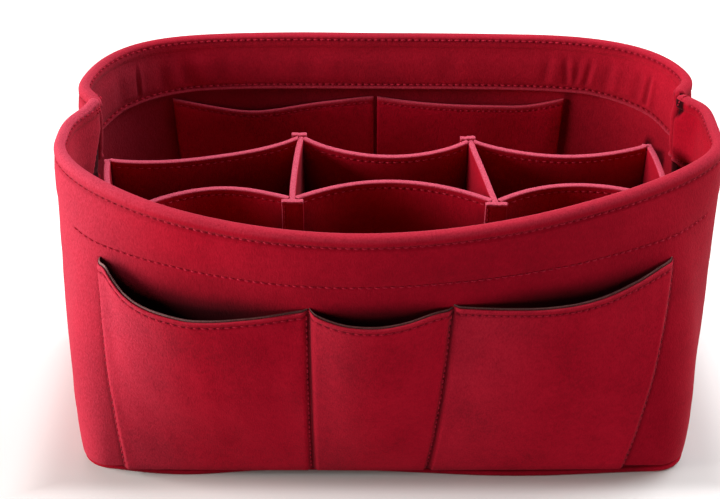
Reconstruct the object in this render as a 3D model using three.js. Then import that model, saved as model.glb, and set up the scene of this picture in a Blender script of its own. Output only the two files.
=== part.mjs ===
// Purse organizer insert: a soft open-topped basket with a lift-out divider rack.
// Units are millimetres. +X is to the right, +Y from the front to the back, +Z up.
import * as THREE from 'three';

// The rim: two half ovals, fuller at the back, drawn in at the side seams.
const rimHeight = 145;
const rimScoop = 4;
const rimHalfWidth = 139.4;
const rimFrontHalfWidth = 140.3;
const rimShift = -0.3;
const rimFrontDepth = 65.5;
const rimBackDepth = 94.8;
const rimFrontPower = 2;
const rimBackPower = 4.5;
const rimFrontTaper = 0.24;
const rimFrontSkew = 0.149;
const rimBackSkew = 0.017;
const rimRollWidth = 6.8;
const rimRollHeight = 7.0;

// The side seams: where the front and back panels meet, folded inwards at the top.
const seamY = { left: 33, right: 39 };
const seamFold = { left: 9.5, right: 8 };
const seamFoldWidth = { front: 12.5, back: 8.5 };
const seamTapeHalfWidth = 5;
const seamTapeThickness = 1.1;
const seamTapeClearance = 0.7;

// The walls swell out above the base, by wallSwell times a fraction of the height,
// and a little more half way up.
const wallSwell = 8.1;
const wallSwellHeight = 0.247;
const wallBelly = 1.3;
const wallBellyHeight = 0.45;
const wallBellyWidth = 0.2;

// The base: a rounded rectangle.
const baseHalfWidth = 136;
const baseShift = -1.9;
const baseFrontDepth = 46.9;
const baseBackDepth = 60;
const baseCornerRadius = 10.5;
const basePanelThickness = 2.6;
const basePanelOverhang = 3.0;
const baseBoardThickness = 1.8;
const baseLiningThickness = 1.6;
const baseInsertClearance = 1.1;

// Layers, counted outwards from the surface between the wall and its facing.
const gap = 0.3;
const wallInside = 0.2;
const wallOutside = 3.0;
const facingInside = -2.5;
const facingOutside = wallInside - gap;
const facingBottom = 121.6;

// The pockets. A mouth is a row of [fraction of the width, fraction of the wall height].
const pocketLining = 0.5;
const pocketPanel = 1.3;
const pocketBottom = 3.2;
const outerSeamLeft = { top: 0.1915, spread: 0.0215, height: 0.8, power: 2.2 };
const outerSeamRight = { top: 0.799, spread: -0.051, height: 0.75, power: 1.45 };
const partitionLeft = 0.4175;
const partitionRight = { bottom: 0.538, spread: 0.0215, height: 0.75, power: 0.8 };
const outerPockets = [
  {
    name: 'left', gape: 9, fullest: 0.34,
    mouth: [
      [0, 0.800], [0.03, 0.804], [0.07, 0.806], [0.11, 0.785], [0.177, 0.752], [0.263, 0.731],
      [0.378, 0.719], [0.5, 0.714], [0.75, 0.733], [1, 0.757],
    ],
  },
  {
    name: 'centre', gape: 7.5, fullest: 0.42,
    mouth: [
      [0, 0.762], [0.12, 0.744], [0.3, 0.722], [0.5, 0.714], [0.68, 0.718], [0.85, 0.737], [1, 0.752],
    ],
  },
  {
    name: 'right', gape: 7.5, fullest: 0.66,
    mouth: [
      [0, 0.759], [0.2, 0.744], [0.42, 0.728], [0.62, 0.727], [0.8, 0.741], [0.92, 0.764], [1, 0.778],
    ],
  },
];
const innerPocketThickness = 1.6;
const innerPocketBottom = 7.4;
const innerPockets = [
  {
    name: 'left', from: 0.205, to: 0.4965, gape: 7,
    mouth: [[0, 0.820], [0.2, 0.786], [0.4, 0.768], [0.7, 0.790], [1, 0.811]],
  },
  {
    name: 'right', from: 0.5015, to: 0.768, gape: 7,
    mouth: [[0, 0.810], [0.3, 0.795], [0.6, 0.784], [0.8, 0.794], [1, 0.814]],
  },
];

// The divider rack, standing on the base lining. Plan points are [x, y] of the centrelines.
const rackThickness = 3.0;
const rackBottom = basePanelThickness + baseBoardThickness + baseLiningThickness + 3 * gap;
const rackTop = 125;
const rackRear = [[-125.8, 18.5], [-39.8, 38.2], [37.7, 35.1], [118.6, 31.2]];
const rackFront = [[-114, -24], [-41.9, -11.7], [45.3, -13.9], [119, -13]];
const rackRearBow = [-2.5, -9.5, -5.7];
const rackFrontBow = [14, 14.8, 12.8];
const rackDividerBow = [-2.4, -0.7, 0, 1.5];
const rackRearDip = 3;
const rackFrontDip = 0;
const rackEndInset = 3.3;
const dividerEndRelief = 0.7;
const junctionWidth = { rear: 7, front: 9.4 };
const junctionThickness = 1.5;
const rearStripAngle = [9, 0, 0, 0];
const frontStripAngle = [0, 0, 0, 0];

const dense = 1200;
const seamGap = 0.2;

// Distance along a polyline at each of its points.
function lengths(line) {
  const out = [0];
  for (let i = 1; i < line.length; i++) {
    out.push(out[i - 1] + line[i].distanceTo(line[i - 1]));
  }
  return out;
}

// The same polyline with count points at equal spacing.
function evenly(line, count) {
  const along = lengths(line);
  const total = along[along.length - 1];
  const out = [];
  let k = 0;
  for (let i = 0; i < count; i++) {
    const want = total * i / (count - 1);
    while (k < line.length - 2 && along[k + 1] < want) k++;
    const t = (want - along[k]) / (along[k + 1] - along[k]);
    out.push(line[k].clone().lerp(line[k + 1], Math.min(Math.max(t, 0), 1)));
  }
  return out;
}

function smooth(x) {
  const t = Math.min(Math.max(x, 0), 1);
  return t * t * (3 - 2 * t);
}

// Rim centreline at an angle: |x/a|^n + |y/b|^n = 1, narrowed to the sides at the front,
// skewed, then folded in at the seams.
function rimPoint(angle) {
  const c = Math.cos(angle);
  const s = Math.sin(angle);
  const atFront = s < 0;
  const power = 2 / (atFront ? rimFrontPower : rimBackPower);
  const depth = atFront ? rimFrontDepth : rimBackDepth;
  const skew = atFront ? rimFrontSkew : rimBackSkew;
  let x = Math.sign(c) * Math.abs(c) ** power;
  const narrow = atFront ? 1 - rimFrontTaper * x * x : 1;
  const y = depth * Math.sign(s) * Math.abs(s) ** power * (1 - skew * x) * narrow;
  const side = x < 0 ? 'left' : 'right';
  const front = smooth((seamY[side] + 6 - y) / 12);
  x *= rimHalfWidth + (rimFrontHalfWidth - rimHalfWidth) * front;
  const width = y < seamY[side] ? seamFoldWidth.front : seamFoldWidth.back;
  const fold = seamFold[side] * Math.exp(-(((y - seamY[side]) / width) ** 2));
  const atSide = Math.min(Math.max(3 * Math.abs(x) / rimHalfWidth - 1.5, 0), 1);
  x -= Math.sign(x) * fold * atSide;
  return new THREE.Vector2(x + rimShift, y);
}

function rimLine() {
  const out = [];
  for (let i = 0; i <= 3600; i++) {
    out.push(rimPoint(2 * Math.PI * i / 3600));
  }
  return out;
}

// Base outline, moved outwards by grow, starting at the right side.
function baseLine(grow = 0) {
  const r = baseCornerRadius + grow;
  const inX = baseHalfWidth - baseCornerRadius;
  const back = baseBackDepth - baseCornerRadius;
  const front = -baseFrontDepth + baseCornerRadius;
  const centres = [[inX, back], [-inX, back], [-inX, front], [inX, front]];
  const out = [];
  centres.forEach(([x, y], quarter) => {
    for (let i = 0; i <= 10; i++) {
      const a = Math.PI / 2 * (quarter + i / 10);
      out.push(new THREE.Vector2(baseShift + x + r * Math.cos(a), y + r * Math.sin(a)));
    }
  });
  out.push(out[0].clone());
  return out;
}

// The part of a closed outline between the two seams, from left to right.
function between(line, front) {
  const ring = evenly(line, 6001).slice(0, -1);
  const nearest = (side) => {
    let best = 0;
    let least = Infinity;
    ring.forEach((p, i) => {
      const away = Math.abs(p.y - seamY[side]);
      if ((p.x < 0) === (side === 'left') && away < least) {
        least = away;
        best = i;
      }
    });
    return best;
  };
  const start = nearest('left');
  const step = front ? 1 : -1;
  const end = nearest('right');
  const out = [];
  for (let i = start; i !== end; i = (i + step + ring.length) % ring.length) {
    out.push(ring[i]);
  }
  out.push(ring[end]);
  return evenly(out, dense + 1);
}

// How far the wall stands out from the straight line between base and rim, at height v.
function swell(v) {
  const belly = wallBelly * Math.exp(-(((v - wallBellyHeight) / wallBellyWidth) ** 2));
  return wallSwell * (1 - Math.exp(-Math.max(v, 0) / wallSwellHeight)) * (1 - v) + belly;
}

// A panel runs from its base line to its rim line, with the swell added.
function makePanel(front) {
  const base = between(baseLine(), front);
  const rim = between(rimLine(), front);
  const total = lengths(rim)[dense];
  const at = (line, s) => {
    const f = Math.min(Math.max(s, 0), 1) * dense;
    const i = Math.min(Math.floor(f), dense - 1);
    return line[i].clone().lerp(line[i + 1], f - i);
  };
  // The front rim dips in the middle by rimScoop.
  const flat = (s, v) => {
    const top = at(rim, s);
    const p = at(base, s).lerp(top, v);
    const dip = front ? rimScoop * Math.max(1 - (top.x / rimHalfWidth) ** 2, 0) : 0;
    return new THREE.Vector3(p.x, p.y, v * (rimHeight - dip));
  };
  // Beyond a seam the panel goes on as its own mirror image in the seam's plane.
  const mirrored = (s, v) => {
    if (s >= 0 && s <= 1) return flat(s, v);
    const p = flat(s < 0 ? -s : 2 - s, v);
    p.y = 2 * seamY[s < 0 ? 'left' : 'right'] - p.y;
    return p;
  };
  // Level unit normal, pointing out, from the slope along the panel.
  const normal = (s, v) => {
    const d = 0.004;
    const along = mirrored(s + d, v).sub(mirrored(s - d, v));
    const n = new THREE.Vector3(along.y, -along.x, 0).normalize();
    return front ? n : n.negate();
  };
  const point = (s, v, out) => flat(s, v).addScaledVector(normal(s, v), out + swell(v));
  return { front, total, normal, point };
}

const frontPanel = makePanel(true);
const backPanel = makePanel(false);

// Smooth curve through [t, value] pairs: cubic pieces with slopes from the neighbours.
function through(pairs, t) {
  let i = 0;
  while (i < pairs.length - 2 && t > pairs[i + 1][0]) i++;
  const slope = (k) => {
    const a = pairs[Math.max(k - 1, 0)];
    const b = pairs[Math.min(k + 1, pairs.length - 1)];
    return (b[1] - a[1]) / (b[0] - a[0]);
  };
  const [t0, y0] = pairs[i];
  const [t1, y1] = pairs[i + 1];
  const h = t1 - t0;
  const u = (t - t0) / h;
  return (2 * u ** 3 - 3 * u ** 2 + 1) * y0 + (u ** 3 - 2 * u ** 2 + u) * h * slope(i)
    + (3 * u ** 2 - 2 * u ** 3) * y1 + (u ** 3 - u ** 2) * h * slope(i + 1);
}

// Closed solid between two sheets of points, near(u, w) and far(u, w), u and w from 0 to 1.
function slab(nu, nw, near, far, spaceU = (t) => t, spaceW = (t) => t) {
  const points = [];
  for (const sheet of [near, far]) {
    for (let j = 0; j <= nw; j++) {
      for (let i = 0; i <= nu; i++) {
        points.push(...sheet(spaceU(i / nu), spaceW(j / nw)).toArray());
      }
    }
  }
  const row = nu + 1;
  const layer = row * (nw + 1);
  const faces = [];
  const quad = (a, b, c, d) => faces.push(a, b, c, a, c, d);
  for (let j = 0; j < nw; j++) {
    for (let i = 0; i < nu; i++) {
      const a = j * row + i;
      quad(a, a + row, a + row + 1, a + 1);
      quad(layer + a, layer + a + 1, layer + a + row + 1, layer + a + row);
    }
  }
  for (let i = 0; i < nu; i++) {
    const top = nw * row + i;
    quad(i, i + 1, layer + i + 1, layer + i);
    quad(top, layer + top, layer + top + 1, top + 1);
  }
  for (let j = 0; j < nw; j++) {
    const a = j * row;
    const b = j * row + nu;
    quad(a, layer + a, layer + a + row, a + row);
    quad(b, b + row, layer + b + row, layer + b);
  }
  return outward(points, faces);
}

// Tube of rings of points, ring(i) for i from 0 to count, closed at both ends.
function tube(count, sides, ring) {
  const points = [];
  for (let i = 0; i <= count; i++) {
    for (let k = 0; k < sides; k++) {
      points.push(...ring(i / count, k / sides).toArray());
    }
  }
  const faces = [];
  for (let i = 0; i < count; i++) {
    for (let k = 0; k < sides; k++) {
      const a = i * sides + k;
      const b = i * sides + (k + 1) % sides;
      faces.push(a, b, b + sides, a, b + sides, a + sides);
    }
  }
  for (let k = 1; k < sides - 1; k++) {
    const last = count * sides;
    faces.push(0, k + 1, k, last, last + k, last + k + 1);
  }
  return outward(points, faces);
}

// Indexed geometry whose faces point out: the signed volume decides the winding.
function outward(points, faces) {
  let volume = 0;
  const p = (i) => new THREE.Vector3().fromArray(points, 3 * i);
  for (let f = 0; f < faces.length; f += 3) {
    volume += p(faces[f]).dot(p(faces[f + 1]).cross(p(faces[f + 2])));
  }
  if (volume < 0) {
    for (let f = 0; f < faces.length; f += 3) {
      [faces[f], faces[f + 1]] = [faces[f + 1], faces[f]];
    }
  }
  const geometry = new THREE.BufferGeometry();
  geometry.setAttribute('position', new THREE.Float32BufferAttribute(points, 3));
  geometry.setIndex(faces);
  geometry.computeVertexNormals();
  return geometry;
}

// Closer spacing near both seams, where the panel bends most.
const nearSeams = (t) => 0.5 * t + 0.25 * (1 - Math.cos(Math.PI * t));

// Heights where every layer has a row of points, closer together where the swell bends.
const levels = [8, 16, 30, 45, 62, 80, 100];

function rowHeights(zLow, zHigh) {
  return [zLow, ...levels.filter((z) => z > zLow + 1 && z < zHigh - 1), zHigh];
}

// A layer of a panel between two heights and two offsets, seam to seam.
function layer(panel, zLow, zHigh, inside, outside) {
  const margin = seamGap / panel.total;
  const s = (u) => margin + (1 - 2 * margin) * u;
  const rows = rowHeights(zLow, zHigh);
  const v = (w) => rows[Math.round(w * (rows.length - 1))] / rimHeight;
  return slab(
    panelSegments(panel), rows.length - 1,
    (u, w) => panel.point(s(u), v(w), inside),
    (u, w) => panel.point(s(u), v(w), outside),
    nearSeams,
  );
}

const panelSegments = (panel) => (panel.front ? 76 : 68);

// The rolled top edge: a rounded bar along the rim line.
function rimRoll(panel) {
  const margin = seamGap / panel.total;
  const middle = (wallOutside + facingInside) / 2;
  return tube(panelSegments(panel), 8, (t, k) => {
    const s = margin + (1 - 2 * margin) * nearSeams(t);
    const a = 2 * Math.PI * k;
    const c = Math.cos(a);
    const d = Math.sin(a);
    const across = 0.5 * rimRollWidth * Math.sign(c) * Math.abs(c) ** 0.8;
    const up = 0.5 * rimRollHeight * Math.sign(d) * Math.abs(d) ** 0.8;
    const p = panel.point(s, 1, middle + across);
    p.z += up;
    return p;
  });
}

// A tape over the inside of a side seam, half on the front panel and half on the back.
function seamTape(side) {
  const rows = rowHeights(rackBottom + 1, facingBottom - seamTapeClearance);
  const place = (u, w, out) => {
    const reach = (2 * u - 1) * seamTapeHalfWidth;
    const panel = reach < 0 ? frontPanel : backPanel;
    const away = Math.abs(reach) / panel.total;
    const s = side === 'left' ? away : 1 - away;
    return panel.point(s, rows[Math.round(w * (rows.length - 1))] / rimHeight, out);
  };
  const outer = wallInside - seamTapeClearance;
  return slab(
    8, rows.length - 1,
    (u, w) => place(u, w, outer),
    (u, w) => place(u, w, outer - seamTapeThickness),
  );
}

// A flat plate with the base outline.
function plate(grow, zLow, thickness) {
  const shape = new THREE.Shape(baseLine(grow).slice(0, -1));
  const geometry = new THREE.ExtrudeGeometry(shape, { depth: thickness, bevelEnabled: false });
  geometry.translate(0, 0, zLow);
  return geometry;
}

// Pocket boundaries on the front panel, as fractions of its length at height v.
function seamAt(seam, v) {
  return seam.top + seam.spread * Math.max(1 - v / seam.height, 0) ** seam.power;
}

function pocketEdges(index, v) {
  const left = seamAt(outerSeamLeft, v);
  const right = seamAt(outerSeamRight, v);
  const rise = Math.max(v / partitionRight.height, 0) ** partitionRight.power;
  const second = partitionRight.bottom + partitionRight.spread * rise;
  const edge = [left, partitionLeft, second, right];
  const inset = 0.5 * gap / frontPanel.total;
  return [edge[index] + inset, edge[index + 1] - inset];
}

// How far a pocket stands off its wall: nothing at the seams, most at the mouth.
function gapeAt(pocket, t, w) {
  const p = Math.log(0.5) / Math.log(pocket.fullest ?? 0.5);
  return pocket.gape * Math.sin(Math.PI * t ** p) ** 0.85 * (0.4 * w + 0.6 * w ** 2.2) * (w > 0 ? 1 : 0);
}

// Closer rows near the base, where the swell bends.
const nearBase = (t) => t ** 1.4;

function outerPocket(index, inside, thickness) {
  const pocket = outerPockets[index];
  const low = pocketBottom / rimHeight;
  const place = (u, w, out) => {
    const mouth = through(pocket.mouth, u);
    const v = low + (mouth - low) * w;
    const [from, to] = pocketEdges(index, v);
    const lift = gapeAt(pocket, u, w);
    return frontPanel.point(from + (to - from) * u, v, inside + out + lift);
  };
  return slab(20, 8, (u, w) => place(u, w, 0), (u, w) => place(u, w, thickness), undefined, nearBase);
}

function innerPocket(pocket) {
  const low = innerPocketBottom / rimHeight;
  const place = (u, w, out) => {
    const v = low + (through(pocket.mouth, u) - low) * w;
    const lift = gapeAt(pocket, u, w);
    return backPanel.point(pocket.from + (pocket.to - pocket.from) * u, v, facingOutside - out - lift);
  };
  const thickness = innerPocketThickness;
  return slab(16, 8, (u, w) => place(u, w, 0), (u, w) => place(u, w, thickness), undefined, nearBase);
}

// An upright sheet on a bowed plan line from a to b, its top edge dipping in the middle.
function upright(a, b, bow, dip, insetA, insetB, thickness = rackThickness) {
  const start = new THREE.Vector2(...a);
  const end = new THREE.Vector2(...b);
  const chord = end.clone().sub(start);
  const side = new THREE.Vector2(-chord.y, chord.x).normalize();
  const total = chord.length();
  const line = (t) => start.clone().addScaledVector(chord, t).addScaledVector(side, 4 * bow * t * (1 - t));
  const across = (t) => {
    const d = line(t + 0.01).sub(line(t - 0.01)).normalize();
    return new THREE.Vector2(-d.y, d.x);
  };
  const t0 = insetA / total;
  const t1 = 1 - insetB / total;
  const place = (u, w, out) => {
    const t = t0 + (t1 - t0) * u;
    const p = line(t).addScaledVector(across(t), out);
    const top = rackTop - 4 * dip * t * (1 - t);
    return new THREE.Vector3(p.x, p.y, rackBottom + (top - rackBottom) * w);
  };
  const near = (u, w) => place(u, w, -0.5 * thickness);
  const far = (u, w) => place(u, w, 0.5 * thickness);
  return slab(bow === 0 ? 2 : 14, 1, near, far);
}

// The strip that ties a divider to the row of panels, outside the row.
function junctionStrip([x, y], sign, half, angle) {
  const near = 0.5 * rackThickness + gap;
  const height = rackTop + 0.8 - rackBottom;
  const full = sign > 0 ? junctionWidth.rear : junctionWidth.front;
  const width = half ? full * 0.8 : full;
  const geometry = new THREE.BoxGeometry(width, junctionThickness, height);
  const shift = half * (0.5 * width - 0.5 * rackThickness - 0.6);
  geometry.translate(shift, sign * (near + 0.5 * junctionThickness), rackBottom + 0.5 * height);
  geometry.rotateZ(THREE.MathUtils.degToRad(angle));
  geometry.translate(x, y, 0);
  return geometry;
}

const shellRed = 0xb81e33;
const pocketRed = 0xb01b31;
const liningBrown = 0x5a1a20;
const rackRed = 0xa51d30;
const boardGrey = 0x77706a;

const part = new THREE.Group();
part.name = 'purse_organizer_insert';

function add(name, geometry, color) {
  const material = new THREE.MeshStandardMaterial({ color, roughness: 0.9, metalness: 0 });
  const mesh = new THREE.Mesh(geometry, material);
  mesh.name = name;
  part.add(mesh);
}

const wallLow = basePanelThickness + gap;
const wallHigh = rimHeight - 0.5 * rimRollHeight - gap;
for (const [name, panel] of [['front', frontPanel], ['back', backPanel]]) {
  add(`${name}_wall`, layer(panel, wallLow, wallHigh, wallInside, wallOutside), shellRed);
  add(`${name}_rim_roll`, rimRoll(panel), shellRed);
  add(`${name}_facing`, layer(panel, facingBottom, wallHigh, facingInside, facingOutside), shellRed);
}
const boardBottom = basePanelThickness + gap;
const liningBottom = boardBottom + baseBoardThickness + gap;
add('base_panel', plate(basePanelOverhang, 0, basePanelThickness), shellRed);
add('base_board', plate(-baseInsertClearance, boardBottom, baseBoardThickness), boardGrey);
add('base_lining', plate(-baseInsertClearance, liningBottom, baseLiningThickness), shellRed);
add('side_seam_tape_left', seamTape('left'), shellRed);
add('side_seam_tape_right', seamTape('right'), shellRed);

const pocketStart = wallOutside + gap;
outerPockets.forEach((pocket, i) => {
  const panelStart = pocketStart + pocketLining + gap;
  add(`outer_pocket_${pocket.name}`, outerPocket(i, panelStart, pocketPanel), pocketRed);
  add(`outer_pocket_lining_${pocket.name}`, outerPocket(i, pocketStart, pocketLining), liningBrown);
});
for (const pocket of innerPockets) {
  add(`inner_pocket_${pocket.name}`, innerPocket(pocket), pocketRed);
}

const dividerNames = [
  'rack_end_divider_left', 'rack_cross_divider_left', 'rack_cross_divider_right', 'rack_end_divider_right',
];
dividerNames.forEach((name, i) => {
  const flush = -0.5 * rackThickness + dividerEndRelief;
  add(name, upright(rackRear[i], rackFront[i], rackDividerBow[i], 0, flush, flush), rackRed);
});
const bowed = (row, i, bow, dip) => upright(row[i], row[i + 1], bow[i], dip, rackEndInset, rackEndInset);
['left', 'centre', 'right'].forEach((side, i) => {
  add(`rack_rear_panel_${side}`, bowed(rackRear, i, rackRearBow, rackRearDip), rackRed);
  add(`rack_front_panel_${side}`, bowed(rackFront, i, rackFrontBow, rackFrontDip), rackRed);
});
['left_end', 'left', 'right', 'right_end'].forEach((side, i) => {
  const half = [1, 0, 0, -1][i];
  add(`rack_rear_strip_${side}`, junctionStrip(rackRear[i], 1, half, rearStripAngle[i]), rackRed);
  add(`rack_front_strip_${side}`, junctionStrip(rackFront[i], -1, half, frontStripAngle[i]), rackRed);
});

// The origin is the middle of the bounding box, at the bottom.
part.updateMatrixWorld(true);
const box = new THREE.Box3().setFromObject(part);
const middle = box.getCenter(new THREE.Vector3());
for (const mesh of part.children) {
  mesh.geometry.translate(-middle.x, -middle.y, -box.min.z);
}

export default part;
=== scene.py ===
# Purse organizer insert: an oval basket of red brushed suede with pockets and a lift-out rack.
# Shapes are worked out in millimetres as arrays and go into the meshes in metres.
import bpy
import math
import numpy as np
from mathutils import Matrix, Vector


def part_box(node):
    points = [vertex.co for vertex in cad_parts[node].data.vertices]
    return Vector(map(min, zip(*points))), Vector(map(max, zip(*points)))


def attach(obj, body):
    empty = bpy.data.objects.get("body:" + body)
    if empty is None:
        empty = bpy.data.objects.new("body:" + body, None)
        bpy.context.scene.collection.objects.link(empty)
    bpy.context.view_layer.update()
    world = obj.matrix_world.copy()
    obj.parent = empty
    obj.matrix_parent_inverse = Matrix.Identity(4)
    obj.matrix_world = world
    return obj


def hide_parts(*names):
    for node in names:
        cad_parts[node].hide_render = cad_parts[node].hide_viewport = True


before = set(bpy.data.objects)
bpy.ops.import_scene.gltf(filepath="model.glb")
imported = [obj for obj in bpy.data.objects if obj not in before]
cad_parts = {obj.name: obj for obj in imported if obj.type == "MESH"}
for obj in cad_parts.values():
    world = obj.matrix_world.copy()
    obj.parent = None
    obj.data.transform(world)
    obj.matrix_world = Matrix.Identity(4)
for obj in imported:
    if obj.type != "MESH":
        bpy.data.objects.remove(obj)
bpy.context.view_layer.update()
print("frame loaded:", len(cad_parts), "nodes")

mm = 0.001

# Camera: the fitted viewpoint, 650 mm from the aim point, which lies over the seams' centre
camera = {
    "aim": (-12.8, 0, 89.3),
    "elevation": 35.98,
    "distance": 650,
    "focalPixels": 1440.5,
    "imageWidth": 720,
    "sensor": 36,
}


# camera placed at origin + aim + distance * (0, -cos e, sin e), looking at origin + aim
def makeCamera(c):
    data = bpy.data.cameras.new("camera")
    data.sensor_width = c["sensor"]
    data.lens = c["focalPixels"] * c["sensor"] / c["imageWidth"]
    data.clip_start, data.clip_end = 0.05, 20
    obj = bpy.data.objects.new("camera", data)
    bpy.context.scene.collection.objects.link(obj)
    e = math.radians(c["elevation"])
    x, y, z = np.array(c["aim"]) + origin
    back, rise = c["distance"] * math.cos(e), c["distance"] * math.sin(e)
    obj.location = (x * mm, (y - back) * mm, (z + rise) * mm)
    obj.rotation_euler = (math.pi / 2 - e, 0, 0)
    bpy.context.scene.camera = obj


# Mesh helpers

# mesh object from points in millimetres (n, 3) and faces;
# values is {attribute name: one number per point}
def addMesh(name, points, faces, smooth=True, values=None):
    mesh = bpy.data.meshes.new(name)
    rows = faces.tolist() if hasattr(faces, "tolist") else faces
    mesh.from_pydata((points * mm).tolist(), [], rows)
    mesh.validate()
    mesh.polygons.foreach_set("use_smooth", np.full(len(mesh.polygons), smooth))
    for key, numbers in (values or {}).items():
        layer = mesh.attributes.new(key, "FLOAT", "POINT")
        layer.data.foreach_set("value", numbers.astype(np.float32).ravel())
    mesh.update()
    obj = bpy.data.objects.new(name, mesh)
    bpy.context.scene.collection.objects.link(obj)
    return obj


# quads of a grid of point numbers, (rows, columns)
def gridFaces(index):
    a, b, c, d = index[:-1, :-1], index[:-1, 1:], index[1:, 1:], index[1:, :-1]
    return np.stack([a, b, c, d], -1).reshape(-1, 4)


# closed skin of two grids (rows, columns, 3) that share near's border;
# marks are {attribute: (on near, on far)}
def closedSheet(name, near, far, **marks):
    rows, columns = near.shape[:2]
    first = np.arange(rows * columns).reshape(rows, columns)
    second = first.copy()
    inner = np.arange((rows - 2) * (columns - 2)).reshape(rows - 2, columns - 2)
    second[1:-1, 1:-1] = rows * columns + inner
    points = np.concatenate([near.reshape(-1, 3), far[1:-1, 1:-1].reshape(-1, 3)])
    faces = np.concatenate([gridFaces(first), gridFaces(second)[:, ::-1]])
    # outwards, by the sign of the volume
    a, b, c, d = (points[faces[:, k]] for k in range(4))
    volume = np.einsum("ij,ij->i", a, np.cross(b, c)).sum()
    volume += np.einsum("ij,ij->i", a, np.cross(c, d)).sum()
    if volume < 0:
        faces = faces[:, ::-1]
    values = {}
    for key, (onNear, onFar) in marks.items():
        onNear = np.broadcast_to(onNear, (rows, columns))
        onFar = np.broadcast_to(onFar, (rows, columns))
        values[key] = np.concatenate([onNear.ravel(), onFar[1:-1, 1:-1].ravel()])
    return addMesh(name, points, faces, values=values)


# 0 below 0, 1 above 1, and 3x^2 - 2x^3 between
def smooth(x):
    t = np.clip(x, 0, 1)
    return t * t * (3 - 2 * t)


# exp(-((x - middle) / width)^2)
def bell(x, middle, width):
    return np.exp(-(((x - middle) / width) ** 2))


# share of the thickness left at a distance from a border: (1 - (1 - d/r)^p)^(1/p), 1 past r
def roundOff(distance, radius, power=2.0):
    return (1 - (1 - np.clip(distance / radius, 0, 1)) ** power) ** (1 / power)


# distances from 0 to length: step apart, close together within radius of both borders, and
# 0.45 mm apart about each of fine (middle, half width); none closer than 0.015 mm
def levelsTo(length, step, radius, fine=()):
    border = radius * np.array([0, 0.02, 0.1, 0.3, 0.6, 1.0])
    middle = np.linspace(radius, length - radius, max(int((length - 2 * radius) / step), 2))
    parts = [border, length - border, middle]
    for at, reach in fine:
        middle = parts[2]
        parts[2] = middle[np.abs(middle - at) > reach]
        parts.append(np.arange(at - reach, at + reach + 0.01, 0.45))
    out = np.unique(np.round(np.concatenate(parts), 3))
    keep = np.concatenate([[True], np.diff(out) > 0.015])
    out = out[keep]
    out[-1] = length
    return out


# soft unevenness from -1 to 1: sum of count sines of a and b (mm) with seeded directions,
# each about size mm long
def waves(a, b, seed, size, count=7):
    random = np.random.default_rng(seed)
    total = 0
    for k in range(count):
        turn, phase = random.uniform(0, math.pi), random.uniform(0, 2 * math.pi)
        length = size * random.uniform(0.6, 1.7)
        along = a * math.cos(turn) + b * math.sin(turn)
        total = total + np.sin(2 * math.pi * along / length + phase)
    return total / count ** 0.5 / 1.6


# 1 between start and end and 0 outside, smooth over the length soft at both
def within(x, start, end, soft):
    return smooth((x - start) / soft) * smooth((end - x) / soft)


# 1 at each of count stitch holes between start and end, 0 between them: a cosine, sharpened
def holes(x, start, end, count):
    return ((1 + np.cos(2 * math.pi * count * (x - start) / (end - start))) / 2) ** 1.5


# furrow and painted shade of a stitch line, x mm above it: the furrow is a bell, of which a share
# stays between the holes; the shade is a dot at each hole and a fainter band along the line
def stitchMarks(look, x, hole):
    (depth, wide, stays), (dot, dotWide), (band, bandWide, at) = look
    furrow = depth * bell(x, 0, wide) * (stays + (1 - stays) * hole)
    return furrow, dot * bell(x, 0, dotWide) * hole + band * bell(x, at, bandWide)


# The shell's surfaces, as two panels that meet at the side seams; values in mm, except the
# places along and up a panel, which are fractions, and how dark or light something is

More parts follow.
